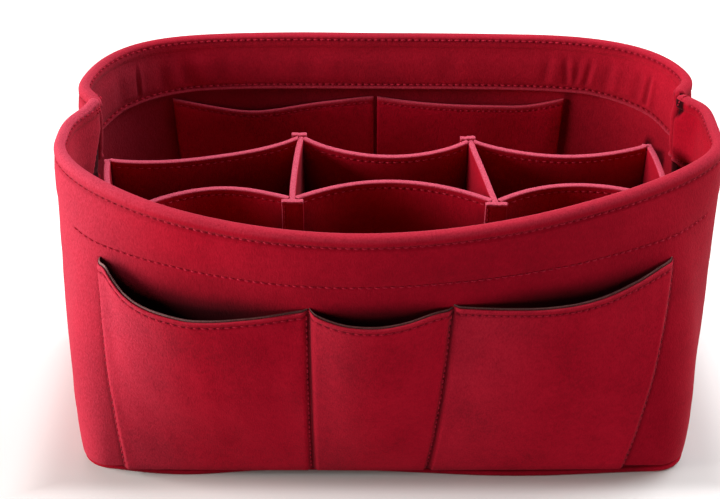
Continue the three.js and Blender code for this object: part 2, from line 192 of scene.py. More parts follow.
shell = {
    # rim outline
    "rimHeight": 145, "rimScoop": 4, "rimShift": -0.3,
    "halfWidth": 139.4, "frontHalfWidth": 140.3, "frontDepth": 65.5, "backDepth": 94.8,
    "frontPower": 2, "backPower": 4.5, "frontTaper": 0.24, "frontSkew": 0.149, "backSkew": 0.017,
    # side seams, left and right: place, depth of the fold, and its width ahead and behind
    "seamY": (33, 39), "seamFold": (9.5, 8), "foldWidthFront": (13.2, 8.6), "foldWidthBack": 8.5,
    # base outline
    "baseHalfWidth": 136, "baseShift": -1.9, "baseFront": 46.9, "baseBack": 60, "baseCorner": 10.5,
    # how the wall swells out: amount and height; and the belly: amount, place and width
    "swell": 8.1, "swellHeight": 0.247, "belly": (1.3, 0.45, 0.2),
    # faces of the wall and the facing, out from the panel's own surface
    "outside": 3.0, "inside": 0.2, "facingInside": -2.5, "facingBottom": 121.6,
    "rollWidth": 5.6, "rollHeight": 7.0, "rollPower": 0.8, "bottom": 2.9,
    # rounding of the panels' ends and foot, gap that the ends leave to the seam
    "endRadius": 2.2, "footRadius": 1.5, "seamGap": 0.2,
    # grid: columns' step; rows of the wall (from, to, step); of the roll (from, to, count), degrees
    "columnStep": 0.9,
    "wallRows": [(7, 106, 3.3), (107, 120.5, 0.6), (120.6, 126, 0.35), (127, 141, 2)],
    "rollRows": [(-42, 4, 8), (8, 44, 9), (52, 90, 6)],
    # unevenness (mm, size of a wave) of the outside, and of the wall and the facing inside
    "uneven": [(0.45, 95), (0.12, 23)], "unevenInside": [(0.25, 70), (0.35, 38)],
    # the band under the hem puffs out: (mm, from, to)
    "puff": (0.4, 122.5, 142.5),
    # rounding of the facing's edge, and its turned lip: (mm thick, mm wide)
    "facingEdge": 0.9, "facingLip": (0.6, 1.1),
    # how much lower the facing's edge hangs near the seams: (place along the panel, mm)
    "facingDropFront": [
        (0, 13.5), (0.05, 12.8), (0.11, 10), (0.2, 0), (0.8, 0), (0.9, 6), (0.96, 7.8), (1, 8.4)],
    "facingDropBack": [
        (0, 6), (0.09, 5.6), (0.1, 5.0), (0.131, 2.8), (0.166, 1.7), (0.195, 0.9), (0.24, 0),
        (0.8, 0), (0.844, 1.7), (0.876, 3.2), (0.9, 4.5), (0.932, 7.6), (1, 9)],
    # how wide the slit beside the front panel's end is, which is painted dark as shade, left and
    # right: (height, mm);
    # beside the back panel's; how far the panel stands off there, and how dark its painted shade is
    "openingLeft": [(109, 12), (115, 9), (124, 6), (133, 3), (143, 1.0), (148, 0.5)],
    "openingRight": [
        (112, 1.0), (128, 0.9), (136, 1.0), (139, 4.0), (143, 6.5), (147, 6.0), (149, 0.5)],
    "openingBack": 0.7, "slitOut": 1.6, "slitShade": 0.97,
    # stitch lines: (height, from, to), the last two as fractions along the panel
    "pitch": 3.2, "grooveDepth": 0.45,
    "hemLine": (143.3, 0.006, 0.994),
    "hemLineInsideFront": (146.3, 0.006, 0.978), "hemLineInsideBack": (146.3, 0.006, 0.994),
    "bandLineFront": (122.1, 0.155, 0.853), "bandLineBack": (122.1, 0.01, 0.99),
    "facingLine": (124.3, 0.012, 0.988),
    # bar tacks over the front roll's ends: (from, step) along the panel
    "tacks": [(0.006, 0.003), (0.010, 0.003), (0.993, -0.003)],
    # how much the front's roll and the back's rise at the left seam, and how much paler they are
    # along the crest, from rubbed nap and a painted highlight
    "seamRise": (1.6, -1.8), "worn": (0.45, 0.3),
    # painted shade: along the foot (how dark, mm high, from, to); beside the pockets' side seams
    # (how dark, mm across) up to two heights; just under the facing (how dark, height where it
    # starts, over how many mm), which fades towards the right (from, over what share, how much)
    "footShade": (0.55, 1.6, 0.19, 0.80), "seamShade": (0.5, 1.1), "seamTops": (0.800, 0.775),
    "underShade": (0.45, 108, 13), "underEnd": (0.6, 0.15, 0.9),
    # painted shade beside the inner pockets: how dark, and (place, width) of each
    "besideShade": 0.5, "besidePlaces": [(0.214, 0.007), (0.774, 0.008)],
    # painted shadow on a wedge of wall that the rack's right end keeps the light off: its top falls
    # by the slope from the corner on
    "wedge": {"share": 0.85, "from": 0.889, "to": 0.93, "corner": 0.895, "top": 105, "slope": 150},
    # painted shade, painted sheen on the lit left lobe and a paler painted tone inside it, towards
    # the left end: (place where it ends, over what share, amount)
    "awayShade": (0.26, 0.1, 0.35), "paintedSheenFront": (0.31, 0.2, 1.0),
    "paintedSheenBack": (0.2, 0.16, 0.7), "strokedInside": (0.24, 0.12, 0.45),
}
dense = 1200  # steps along each panel's outlines

# stitch lines: furrow (mm deep, mm across, share that stays between the holes),
# painted shade at the holes (how dark, mm across) and in a band (how dark, mm across, mm above the
# line)
stitchLook = {
    "wall": ((shell["grooveDepth"], 0.8, 0.55), (0.34, 0.75), (0.22, 1.1, -0.3)),
    "mouth": ((0.3, 0.8, 0.5), (0.6, 0.65), (0.2, 1.0, 0)),
    "seam": ((0.5, 0.7, 0.6), (0.45, 0.55), (0.3, 0.8, 0)),
    "inner": ((0.3, 0.7, 1), (0.3, 0.5), (0.1, 0.9, 0)),
    "rack": ((0.35, 0.7, 0.5), (0.6, 0.5), (0, 1, 0)),
}

# the shapes are centred on a frame of their own; the base panel shows where that lies in the pack
baseLow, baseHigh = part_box("base_panel")
origin = np.array([
    (baseLow.x + baseHigh.x) / 2 / mm - shell["baseShift"],
    (baseLow.y + baseHigh.y) / 2 / mm - (shell["baseBack"] - shell["baseFront"]) / 2,
    0.0,
])
makeCamera(camera)


# distance along a polyline at each point
def lengthsOf(line):
    return np.concatenate([[0], np.cumsum(np.linalg.norm(np.diff(line, axis=0), axis=1))])


# the polyline with count points at equal spacing
def evenly(line, count):
    along = lengthsOf(line)
    want = np.linspace(0, along[-1], count)
    return np.stack([np.interp(want, along, line[:, k]) for k in range(line.shape[1])], -1)


# |x/a|^n + |y/b|^n = 1 by angle, skewed, narrowed at the front, a little wider ahead of the
# seams, and folded in by a bell at each seam, in the outer half only
def rimLine(c):
    angle = np.linspace(0, 2 * math.pi, 3601)
    cos, sin = np.cos(angle), np.sin(angle)
    front = sin < 0
    power = 2 / np.where(front, c["frontPower"], c["backPower"])
    x = np.sign(cos) * np.abs(cos) ** power
    depth = np.where(front, c["frontDepth"], c["backDepth"])
    skew = np.where(front, c["frontSkew"], c["backSkew"])
    y = depth * np.sign(sin) * np.abs(sin) ** power * (1 - skew * x)
    y = y * np.where(front, 1 - c["frontTaper"] * x * x, 1)
    seam = np.where(x < 0, c["seamY"][0], c["seamY"][1])
    width = c["halfWidth"] + (c["frontHalfWidth"] - c["halfWidth"]) * smooth((seam + 6 - y) / 12)
    x = x * width
    fold = np.where(x < 0, c["seamFold"][0], c["seamFold"][1])
    ahead = np.where(x < 0, c["foldWidthFront"][0], c["foldWidthFront"][1])
    fold = fold * bell(y, seam, np.where(y < seam, ahead, c["foldWidthBack"]))
    x = x - np.sign(x) * fold * np.clip(3 * np.abs(x) / c["halfWidth"] - 1.5, 0, 1)
    return np.stack([x + c["rimShift"], y], -1)


# rounded rectangle of the base, moved outwards by grow, from the right side round
def baseLine(c, grow=0.0):
    r = c["baseCorner"] + grow
    x, back = c["baseHalfWidth"] - c["baseCorner"], c["baseBack"] - c["baseCorner"]
    front = c["baseCorner"] - c["baseFront"]
    out = []
    for quarter, (cx, cy) in enumerate([(x, back), (-x, back), (-x, front), (x, front)]):
        a = math.pi / 2 * (quarter + np.linspace(0, 1, 11))
        out.append(np.stack([c["baseShift"] + cx + r * np.cos(a), cy + r * np.sin(a)], -1))
    out = np.concatenate(out)
    return np.concatenate([out, out[:1]])


# the part of a closed outline from the left seam to the right one, round the front or the back
def between(c, line, front):
    ring = evenly(line, 6001)[:-1]
    otherSide = [(ring[:, 0] < 0) != (k == 0) for k in (0, 1)]
    away = [np.abs(ring[:, 1] - c["seamY"][k]) + 1e6 * otherSide[k] for k in (0, 1)]
    start, end = int(np.argmin(away[0])), int(np.argmin(away[1]))
    step = 1 if front else -1
    count = ((end - start) * step) % len(ring)
    return evenly(ring[(start + step * np.arange(count + 1)) % len(ring)], dense + 1)


# base and rim outline of the front or back panel, from the left seam to the right one
def makePanel(c, front):
    rim = between(c, rimLine(c), front)
    return {
        "front": front,
        "base": between(c, baseLine(c), front),
        "rim": rim,
        "length": lengthsOf(rim)[-1],
    }


frontPanel = makePanel(shell, True)
backPanel = makePanel(shell, False)


# straight line from the base outline to the rim outline, at fraction s along both and at
# fraction v of the height; the front's rim dips in the middle by a parabola
def flatPoint(panel, s, v):
    at = np.linspace(0, 1, dense + 1)
    base = [np.interp(s, at, panel["base"][:, k]) for k in (0, 1)]
    top = [np.interp(s, at, panel["rim"][:, k]) for k in (0, 1)]
    x, y = [b + (t - b) * v for b, t in zip(base, top)]
    dip = 0
    if panel["front"]:
        dip = shell["rimScoop"] * np.maximum(1 - (top[0] / shell["halfWidth"]) ** 2, 0)
    return x, y, v * (shell["rimHeight"] - dip)


# past a seam the panel goes on as its own mirror image in the seam's plane
def mirroredPoint(panel, s, v):
    inside = np.where(s < 0, -s, np.where(s > 1, 2 - s, s))
    x, y, z = flatPoint(panel, inside, v)
    seam = np.where(s < 0.5, shell["seamY"][0], shell["seamY"][1])
    return x, np.where((s < 0) | (s > 1), 2 * seam - y, y)


# unit normal in the level plane, pointing out, from the slope along the panel
def levelNormal(panel, s, v):
    ax, ay = mirroredPoint(panel, s - 0.004, v)
    bx, by = mirroredPoint(panel, s + 0.004, v)
    nx, ny = by - ay, ax - bx
    size = np.hypot(nx, ny) * (1 if panel["front"] else -1)
    return nx / size, ny / size


# point of a panel at s and v, moved out along the level normal by out, plus the wall's swell
# (1 - e^(-v / height)) (1 - v), plus the belly's bell
def onPanel(panel, s, v, out):
    s, v, out = np.broadcast_arrays(*(np.asarray(a, float) for a in (s, v, out)))
    x, y, z = flatPoint(panel, s, v)
    nx, ny = levelNormal(panel, s, v)
    out = out + shell["swell"] * (1 - np.exp(-np.maximum(v, 0) / shell["swellHeight"])) * (1 - v)
    amount, at, width = shell["belly"]
    out = out + amount * bell(v, at, width)
    return np.stack([x + nx * out, y + ny * out, z], -1) + origin


# Where the pockets lie

pocket = {
    # side seams: (place at the top, how far it moves by the foot, height of the top, power);
    # right partition: (place at the foot, how far it moves by the height, height, power)
    "seamLeft": (0.195, 0.0209, 0.8, 1.18), "seamRight": (0.798, -0.0505, 0.8, 1.2),
    "partitionLeft": 0.4175, "partitionRight": (0.538, 0.0215, 0.75, 0.8),
    # faces of the lining and the panel, out from the wall panel's own surface
    "liningIn": 3.15, "liningOut": 4.05, "panelOut": 5.35, "bottom": 3.2,
    "mouthStitch": 2.7, "seamStitch": 0.9, "outerHigh": 102.0,
    # the seam pulls the edges down to the wall: (mm, over how many mm); unevenness as above
    "seamPull": (1.4, 2.6), "uneven": [(0.55, 70), (0.12, 17)],
    # painted shade along the sides and the foot: (how dark, over how many mm)
    "sideShade": (0.5, 0.9), "footShade": (0.7, 1.6),
    # gape: mm that the mouth stands off; fullest: where; haze: painted shade above the mouth;
    # light: painted highlight on the left bulge; wide: mm across; flat: the sheet's cut size in
    # metres;
    # mouth: (place across, height as a fraction)
    "outer": {
        "Left": {
            "node": "outer_pocket_left", "lining": "outer_pocket_lining_left",
            "gape": 9, "fullest": 0.34, "haze": 0.42, "light": 0.9, "wide": 96,
            "flat": (0.097, 0.109),
            "mouth": [(0, 0.800), (0.03, 0.804), (0.07, 0.806), (0.11, 0.785), (0.177, 0.752),
                      (0.263, 0.731), (0.378, 0.719), (0.5, 0.714), (0.75, 0.733), (1, 0.757)],
        },
        "Centre": {
            "node": "outer_pocket_centre", "lining": "outer_pocket_lining_centre",
            "gape": 6, "fullest": 0.38, "haze": 0.2, "light": 0.25, "wide": 61,
            "flat": (0.059, 0.106),
            "mouth": [(0, 0.760), (0.12, 0.746), (0.3, 0.732), (0.5, 0.728), (0.68, 0.736),
                      (0.85, 0.751), (1, 0.751)],
        },
        "Right": {
            "node": "outer_pocket_right", "lining": "outer_pocket_lining_right",
            "gape": 6, "fullest": 0.5, "haze": 0.2, "light": 0.25, "wide": 110,
            "flat": (0.101, 0.106),
            "mouth": [(0, 0.759), (0.2, 0.749), (0.42, 0.738), (0.62, 0.737), (0.8, 0.755),
                      (0.92, 0.772), (1, 0.778)],
        },
    },
    "inner": {
        "Left": {
            "node": "inner_pocket_left", "from": 0.21, "to": 0.4965,
            "gape": 4, "fullest": 0.5, "flat": (0.105, 0.109), "seed": 81,
            "mouth": [(0, 0.820), (0.2, 0.788), (0.4, 0.773), (0.7, 0.797), (1, 0.811)],
        },
        "Right": {
            "node": "inner_pocket_right", "from": 0.5015, "to": 0.768,
            "gape": 4, "fullest": 0.5, "flat": (0.098, 0.109), "seed": 82,
            "mouth": [(0, 0.810), (0.3, 0.797), (0.6, 0.794), (0.8, 0.792), (1, 0.814)],
        },
    },
    "innerBottom": 7.4, "innerOut": -0.1, "innerThickness": 1.6, "innerStitch": 2.6,
    "innerWide": 108.0, "innerHigh": 106.0, "innerUneven": (0.5, 60), "innerSink": 0.42,
}


# smooth curve through (t, value) pairs: cubic pieces whose slopes come from the neighbours
def through(pairs, t):
    x, y = np.array(pairs).T
    last = len(x) - 1
    k = np.arange(last + 1)
    ahead, behind = np.minimum(k + 1, last), np.maximum(k - 1, 0)
    slope = (y[ahead] - y[behind]) / (x[ahead] - x[behind])
    i = np.clip(np.searchsorted(x, t, side="right") - 1, 0, last - 1)
    width = x[i + 1] - x[i]
    u = (t - x[i]) / width
    return ((2 * u ** 3 - 3 * u ** 2 + 1) * y[i] + (u ** 3 - 2 * u ** 2 + u) * width * slope[i]
            + (3 * u ** 2 - 2 * u ** 3) * y[i + 1] + (u ** 3 - u ** 2) * width * slope[i + 1])


# left and right boundary of outer pocket number index, as fractions along the front panel
# at height v; a seam runs as top + spread (1 - v / height)^power, and the right partition
# as foot + spread (v / height)^power; the panels keep 0.1 mm from these lines
def pocketSides(c, index, v):
    def seam(values):
        top, spread, height, power = values
        return top + spread * np.maximum(1 - v / height, 0) ** power
    foot, spread, height, power = c["partitionRight"]
    second = foot + spread * np.maximum(v / height, 0) ** power
    lines = [seam(c["seamLeft"]), c["partitionLeft"] + 0 * v, second, seam(c["seamRight"])]
    inset = 0.1 / frontPanel["length"]
    return lines[index] + inset, lines[index + 1] - inset


# how far a pocket stands off the wall: a sine across that is fullest where it should be,
# rising with the height w as 0.4 w + 0.6 w^2.2
def gapeOf(one, u, w):
    p = math.log(0.5) / math.log(one["fullest"])
    across = np.sin(math.pi * np.clip(u, 0, 1) ** p) ** 0.85
    return one["gape"] * across * (0.4 * w + 0.6 * np.maximum(w, 0) ** 2.2)


# painted shade on the front wall inside the outer pockets, fading out above their mouths:
# a core within 10 mm and a haze within 30 mm
def mouthShade(s, v):
    s, v = np.broadcast_arrays(s, v)
    dark = np.zeros(s.shape)
    for index, one in enumerate(pocket["outer"].values()):
        start, end = pocketSides(pocket, index, v)
        u = np.clip((s - start) / (end - start), 0, 1)
        below = (through(one["mouth"], u) - v) * shell["rimHeight"]
        room = np.sin(math.pi * u) ** 0.4
        core = 0.88 * smooth((below + 10 * room) / 11) * room
        haze = one["haze"] * smooth((below + 30 * room) / 30) * room
        dark = np.maximum(dark, 1 - (1 - core) * (1 - haze))
    return dark


# Folds pressed into the back's facing: (place along the panel, depth mm, width as a fraction, lean)
facingFolds = [
    (0.161, 1.1, 0.0026, 0.012), (0.128, 0.5, 0.010, 0.0), (0.198, 0.6, 0.009, 0.03),
    (0.232, 0.7, 0.012, -0.02), (0.282, 0.5, 0.014, 0.02), (0.40, 0.3, 0.02, 0.0),
    (0.60, 0.3, 0.014, 0.03), (0.738, 0.4, 0.007, 0.02), (0.766, 0.7, 0.0045, -0.07),
    (0.781, 0.4, 0.005, 0.05), (0.797, 0.6, 0.0045, 0.06), (0.825, 0.5, 0.007, 0.02),
    (0.872, 0.5, 0.008, 0.02), (0.888, 1.1, 0.0045, 0.03),
]


# how far the facing's lower edge hangs below its middle height: straight between given places
def dropAt(c, panel, s):
    return np.interp(s, *np.array(c["facingDropFront" if panel["front"] else "facingDropBack"]).T)


# width of the slit beside the front panel's end at height h: straight between given heights
def openingAt(c, s, h):
    left, right = (np.interp(h, *np.array(c[key]).T) for key in ("openingLeft", "openingRight"))
    return np.where(s < 0.5, left, right)


# the hem's stitch line on the inside of a panel
def hemInside(c, panel):
    return c["hemLineInsideFront" if panel["front"] else "hemLineInsideBack"]


# number of stitches in a line: its length over the pitch
def stitchCount(c, panel, line):
    return int((line[2] - line[1]) * panel["length"] / c["pitch"])


# amount at the panel's left end, gone at a place further on: amount * smooth((place - s) / width)
def towardsLeft(values, s):
    place, width, amount = values
    return amount * smooth((place - s) / width)


# furrow and painted shade of a wall's stitch line, which end with it
def lineMarks(c, panel, line, s, h):
    at, start, end = line
    hole = holes(s, start, end, stitchCount(c, panel, line))
    inside = ((s > start - 0.002) & (s < end + 0.002)).astype(float)
    furrow, dark = stitchMarks(stitchLook["wall"], h - at, hole)
    return furrow * inside, np.clip(dark * inside, 0, 1)


# outside of the wall at height h: flat, plus soft unevenness that fades at the ends and the
# foot, less the stitch furrows; and its painted shade, the largest of all at each place
def outerFace(c, panel, s, h):
    seed = 3 if panel["front"] else 5
    along = s * panel["length"]
    middle = within(s, 0, 1, 0.1) * smooth(h / 30)
    (broad, broadSize), (fine, fineSize) = c["uneven"]
    out = c["outside"] + broad * waves(along, h, seed, broadSize) * middle
    out = out + fine * waves(along, h, seed + 20, fineSize) * middle
    # the band between the hem and the lower stitch line puffs out a little
    puff, low, high = c["puff"]
    out = out + puff * within(h, low, high, 6)
    bandLine = c["bandLineFront" if panel["front"] else "bandLineBack"]
    hem, hemDark = lineMarks(c, panel, c["hemLine"], s, h)
    band, bandDark = lineMarks(c, panel, bandLine, s, h)
    # painted shade along the foot, on the front only between the pockets' seams
    share, high, start, end = c["footShade"]
    foot = share * (1 - smooth((h - c["bottom"]) / high))
    if panel["front"]:
        foot = foot * within(s, start, end, 0.03)
    dark = np.maximum(np.maximum(hemDark, 0.45 * bandDark), foot)
    if panel["front"]:
        v = h / c["rimHeight"]
        # a line of painted shade where the outer pockets' seams meet the wall
        share, wide = c["seamShade"]
        ends = pocketSides(pocket, 0, v)[0], pocketSides(pocket, 2, v)[1]
        for end, top in zip(ends, c["seamTops"]):
            line = share * bell((s - end) * panel["length"], 0, wide)
            dark = np.maximum(dark, line * (v < top))
        dark = np.maximum(dark, mouthShade(s, v))
    return out - hem - 0.7 * band, dark


# painted shade inside: just under the facing, beside the inner pockets, at the back wall's left
# end, and a painted shadow on a wedge behind the rack's right end; the largest of all at each place
def insideShade(c, panel, s, h, drop, lower):
    share, start, reach = c["underShade"]
    under = share * smooth((h + drop - start) / reach) * (h < lower)
    start, reach, gone = c["underEnd"]
    dark = under * (1 - gone * smooth((s - start) / reach))
    if panel["front"]:
        return dark
    beside = sum(bell(s, at, width) for at, width in c["besidePlaces"])
    dark = np.maximum(dark, c["besideShade"] * beside * smooth(lower - h))
    dark = np.maximum(dark, towardsLeft(c["awayShade"], s))
    one = c["wedge"]
    top = one["top"] - one["slope"] * (s - one["corner"])
    wedge = one["share"] * smooth((top - h) / 2)
    wedge = wedge * smooth((one["to"] - s) / 0.004) * smooth((s - one["from"]) / 0.006)
    return np.maximum(dark, wedge)


# inside: the wall's inner face, and from its lower edge up the facing on top, with the stitch
# furrows and the folds, which are a bell less a fainter one beside it; and its painted shade
def innerFace(c, panel, s, h):
    along = s * panel["length"]
    (rough, roughSize), (loose, looseSize) = c["unevenInside"]
    wall = c["inside"] + rough * waves(along, h, 9, roughSize)
    drop = dropAt(c, panel, s)
    lower = c["facingBottom"] - drop
    edge = roundOff(h - lower, c["facingEdge"])
    line, lineDark = lineMarks(c, panel, c["facingLine"], s, h + drop)
    hem, hemDark = lineMarks(c, panel, hemInside(c, panel), s, h)
    lip, lipWidth = c["facingLip"]
    facing = c["facingInside"] - lip * bell(h, lower + lipWidth, lipWidth) + line + hem
    # between its two stitch lines the facing bags inwards
    band = smooth((h + drop - c["facingLine"][0] - 0.8) / 3) * smooth((141 - h) / 6)
    puff = loose + loose * waves(along, h * 0.4, 14, looseSize)
    facing = facing - puff * band + 0.5 * smooth((h - 135) / 7)
    dark = np.maximum(lineDark, hemDark)
    if not panel["front"]:
        for place, depth, width, lean in facingFolds:
            at = place + lean * (h - 132) / 145
            fold = bell(s, at, width) - 0.55 * bell(s, at + 1.7 * width, width)
            facing = facing + band * depth * fold
            # painted shade in the fold's crease
            dark = np.maximum(dark, 0.3 * depth * band * bell(s, at, 0.7 * width))
    # the open seam: the front panel's end stands off, and the slit is painted dark as shade
    fromEnd = np.where(s < 0.5, s, 1 - s) * panel["length"]
    wide = openingAt(c, s, h) if panel["front"] else c["openingBack"] + 0 * h
    slit = smooth((wide - fromEnd) / 1.2) * smooth((149.5 - h) / 1.0)
    facing = facing + c["slitOut"] * slit * smooth((146 - h) / 4)
    dark = np.maximum(dark, c["slitShade"] * slit)
    dark = np.maximum(dark, insideShade(c, panel, s, h, drop, lower))
    return np.where(h < lower, wall, wall + (facing - wall) * edge), dark


# outer and inner side from the bottom edge up over the rolled hem, which is a superellipse;
# both end at the crest, and both draw together at the panel's ends and at its foot
def makeShellWall(c, name, panel):
    length, rim, low = panel["length"], c["rimHeight"], c["bottom"]
    gap, radius, power = c["seamGap"], c["endRadius"], c["rollPower"]
    # places along the panel, closer at the two ends, where the edge is rounded
    s = (levelsTo(length - 2 * gap, c["columnStep"], radius) / length + gap / length)[None, :]
    fromEnd = np.minimum(s, 1 - s) * length
    footRows = low + c["footRadius"] * np.array([0, 0.02, 0.1, 0.3, 0.6, 1.0])
    wallRows = [np.arange(*span) for span in c["wallRows"]]
    heights = np.concatenate([footRows, *wallRows, [141, 141.8]])[:, None]
    middle = (c["outside"] + c["facingInside"]) / 2
    turn = np.radians(np.concatenate([np.linspace(*arc) for arc in c["rollRows"]]))[:, None]
    across = np.abs(np.cos(turn)) ** power * c["rollWidth"] / 2
    across[-1] = 0
    up = np.sign(np.sin(turn)) * np.abs(np.sin(turn)) ** power * c["rollHeight"] / 2
    h = np.concatenate([heights, rim + up])
    isRoll = np.arange(len(h))[:, None] >= len(heights)
    full = np.concatenate([np.zeros_like(heights), across])
    ends = roundOff(fromEnd - gap, radius)
    foot = roundOff(h - low, c["footRadius"])
    outerWall, outerDark = outerFace(c, panel, s, h)
    innerWall, innerDark = innerFace(c, panel, s, h)
    furrowOut, rollDark = lineMarks(c, panel, c["hemLine"], s, h)
    furrowIn, rollDarkInside = lineMarks(c, panel, hemInside(c, panel), s, h)
    soft = 0.18 * waves(s * length, h, 31, 40) * full / 3.4
    outer = np.where(isRoll, middle + full - furrowOut + soft, outerWall)
    inner = np.where(isRoll, middle - full + furrowIn + soft, innerWall)
    centre = (outer + inner) / 2
    outer = centre + (outer - centre) * ends * foot
    inner = centre + (inner - centre) * ends * foot
    # the roll's ends round down too; at the left seam the front one rises over the back one
    high = rim + (h - rim) * np.where(isRoll & (h > rim), 0.35 + 0.65 * ends, 1)
    rise, crest = (pair[0 if panel["front"] else 1] for pair in (c["seamRise"], c["worn"]))
    high = high + rise * bell(s * length, 0, 7) * isRoll * smooth((h - 143) / 3)
    high = high + 0.25 * waves(s * length, h * 0, 44, 60) * isRoll * (h > rim)
    v = np.minimum(high / rim, 1)
    near, far = onPanel(panel, s, v, outer), onPanel(panel, s, v, inner)
    for grid in (near, far):
        grid[..., 2] += np.maximum(high - rim, 0)
    # paler marks: rubbed nap and a painted highlight along the crest, painted sheen round the lit
    # left lobe, a paler painted tone inside, and a painted highlight on the facing's lip
    paintedSheen = towardsLeft(c["paintedSheenFront" if panel["front"] else "paintedSheenBack"], s)
    worn = crest * smooth((h - 145.2) / 2.2) + 0.9 * paintedSheen
    paintedPaleInside = towardsLeft(c["strokedInside"], s) + (0 if panel["front"] else 0.13) + 0 * h
    lip = 0.9 * bell(h, c["facingBottom"] - dropAt(c, panel, s) + 1.1, 1.2)
    inside = np.maximum(np.where(isRoll & (h > 146), worn, paintedPaleInside), lip)
    # painted shade of the roll's stitch line, and of its ends, which lie in the seam's shade
    rollShade = np.maximum(rollDark, 0.8 * smooth((1.2 - fromEnd) / 0.8))
    outerDark = np.where(isRoll, rollShade, outerDark)
    both = np.maximum(innerDark, rollDarkInside)
    innerDark = np.where(isRoll & (h > 146.9), rollDarkInside, both)
    return closedSheet(name, near, far, edge=(worn, inside), shade=(outerDark, innerDark))


frontWall = makeShellWall(shell, "frontWall", frontPanel)
backWall = makeShellWall(shell, "backWall", backPanel)
print("shell walls made")


# Stitches: one short bent thread each, its ends dipping into the cloth

thread = {"radius": 0.35, "length": 0.74, "rings": 7, "sides": 6, "dip": 0.42}


# rows are (points, normals, count or None, which means one stitch per pitch);
# each stitch follows its line and sinks at both ends by a sine
def stitchRows(name, rows, pitch=3.2, radius=thread["radius"]):
    t = np.linspace(0, 1, thread["rings"])
    turn = 2 * math.pi * np.arange(thread["sides"]) / thread["sides"]
    lift = radius * 0.55 - thread["dip"] * (1 - np.sin(math.pi * t)) ** 1.5
    size = radius * np.clip(np.sin(math.pi * (0.06 + 0.88 * t)), 0.2, 1) ** 0.45
    aside = np.outer(size, np.cos(turn))[None, :, :, None]
    up = np.outer(size, np.sin(turn))[None, :, :, None]
    blocks = []
    for points, normals, count in rows:
        count = count or max(int(lengthsOf(points)[-1] / pitch), 1)
        along = np.linspace(0, 1, len(points))
        starts = (np.arange(count) + 0.5 - 0.5 * thread["length"]) / count
        want = starts[:, None] + t[None, :] * thread["length"] / count
        p = np.stack([np.interp(want, along, points[:, k]) for k in range(3)], -1)
        n = np.stack([np.interp(want, along, normals[:, k]) for k in range(3)], -1)
        n /= np.linalg.norm(n, axis=-1, keepdims=True)
        forward = np.gradient(p, axis=1)
        forward /= np.linalg.norm(forward, axis=-1, keepdims=True)
        side = np.cross(forward, n)
        side /= np.linalg.norm(side, axis=-1, keepdims=True)
        centre = p + n * lift[None, :, None]
        blocks.append(centre[:, :, None, :] + side[:, :, None, :] * aside + n[:, :, None, :] * up)
    rings = np.concatenate(blocks)
    count, length, sides = rings.shape[:3]
    index = np.arange(count * length * sides).reshape(count, length, sides)
    a, b = index[:, :-1], index[:, 1:]
    quads = np.stack([a, np.roll(a, -1, 2), np.roll(b, -1, 2), b], -1).reshape(-1, 4)
    faces = quads.tolist() + index[:, 0, ::-1].tolist() + index[:, -1].tolist()
    return addMesh(name, rings.reshape(-1, 3), faces)


# normals for a stitch line: the level normal times side, plus rise upwards
def normalsAt(panel, s, v, side, rise=0):
    nx, ny = levelNormal(panel, s, v)
    return np.stack([nx * side, ny * side, rise + 0 * nx], -1)


# stitch line along a wall: points on the surface that face gives, normals out (1) or in (-1)
def lineOnWall(c, panel, line, face, side):
    h, start, end = line
    s = np.linspace(start, end, 600)
    h = h - (dropAt(c, panel, s) if side < 0 else 0 * s)
    v = h / c["rimHeight"]
    out = face(c, panel, s, h)[0] + side * 0.3 * c["grooveDepth"]
    return onPanel(panel, s, v, out), normalsAt(panel, s, v, side), stitchCount(c, panel, line)


# the hem's stitch line on the roll's outside (1) or inside (-1), at the roll's own width there
def rollLine(c, panel, line, side):
    h, start, end = line
    s = np.linspace(start, end, 600)
    rise = (h - c["rimHeight"]) / (c["rollHeight"] / 2)
    lean = math.copysign(math.asin(abs(rise) ** (1 / c["rollPower"])), rise)
    across = math.cos(lean) ** c["rollPower"] * c["rollWidth"] / 2
    middle = (c["outside"] + c["facingInside"]) / 2
    v = min(h / c["rimHeight"], 1) + 0 * s
    points = onPanel(panel, s, v, middle + side * (across - 0.6 * c["grooveDepth"]))
    points[:, 2] += max(h - c["rimHeight"], 0)
    return points, normalsAt(panel, s, v, side, math.sin(lean)), stitchCount(c, panel, line)


# bar tack: five close stitches on an arc up the roll's side at a seam
def tackRow(c, panel, s, toS, side):
    t = np.linspace(0, 1, 20)
    turn = math.pi * (-0.12 + 0.72 * t)
    out = (c["outside"] + c["facingInside"]) / 2 + side * np.cos(turn) * (c["rollWidth"] / 2 + 0.05)
    up = c["rollHeight"] / 2 * np.sin(turn)
    along = s + (toS - s) * t
    v = np.minimum(1 + up / c["rimHeight"], 1)
    points = onPanel(panel, along, v, out)
    points[:, 2] += np.maximum(up, 0)
    return points, normalsAt(panel, along, v, side * np.cos(turn), np.sin(turn)), 5


shellLines = []
for panel, inside in ((frontPanel, "hemLineInsideFront"), (backPanel, "hemLineInsideBack")):
    shellLines.append(rollLine(shell, panel, shell["hemLine"], 1))
    shellLines.append(rollLine(shell, panel, shell[inside], -1))
for panel, outside in ((frontPanel, "bandLineFront"), (backPanel, "bandLineBack")):
    shellLines.append(lineOnWall(shell, panel, shell[outside], outerFace, 1))
for panel in (frontPanel, backPanel):
    shellLines.append(lineOnWall(shell, panel, shell["facingLine"], innerFace, -1))
for s, step in shell["tacks"]:
    for side in (1, -1):
        shellLines.append(tackRow(shell, frontPanel, s, s + step, side))
shellStitches = stitchRows("shellStitches", shellLines)
print("shell stitches made")


# The bottom: an outer panel with a rounded edge, and the lining inside

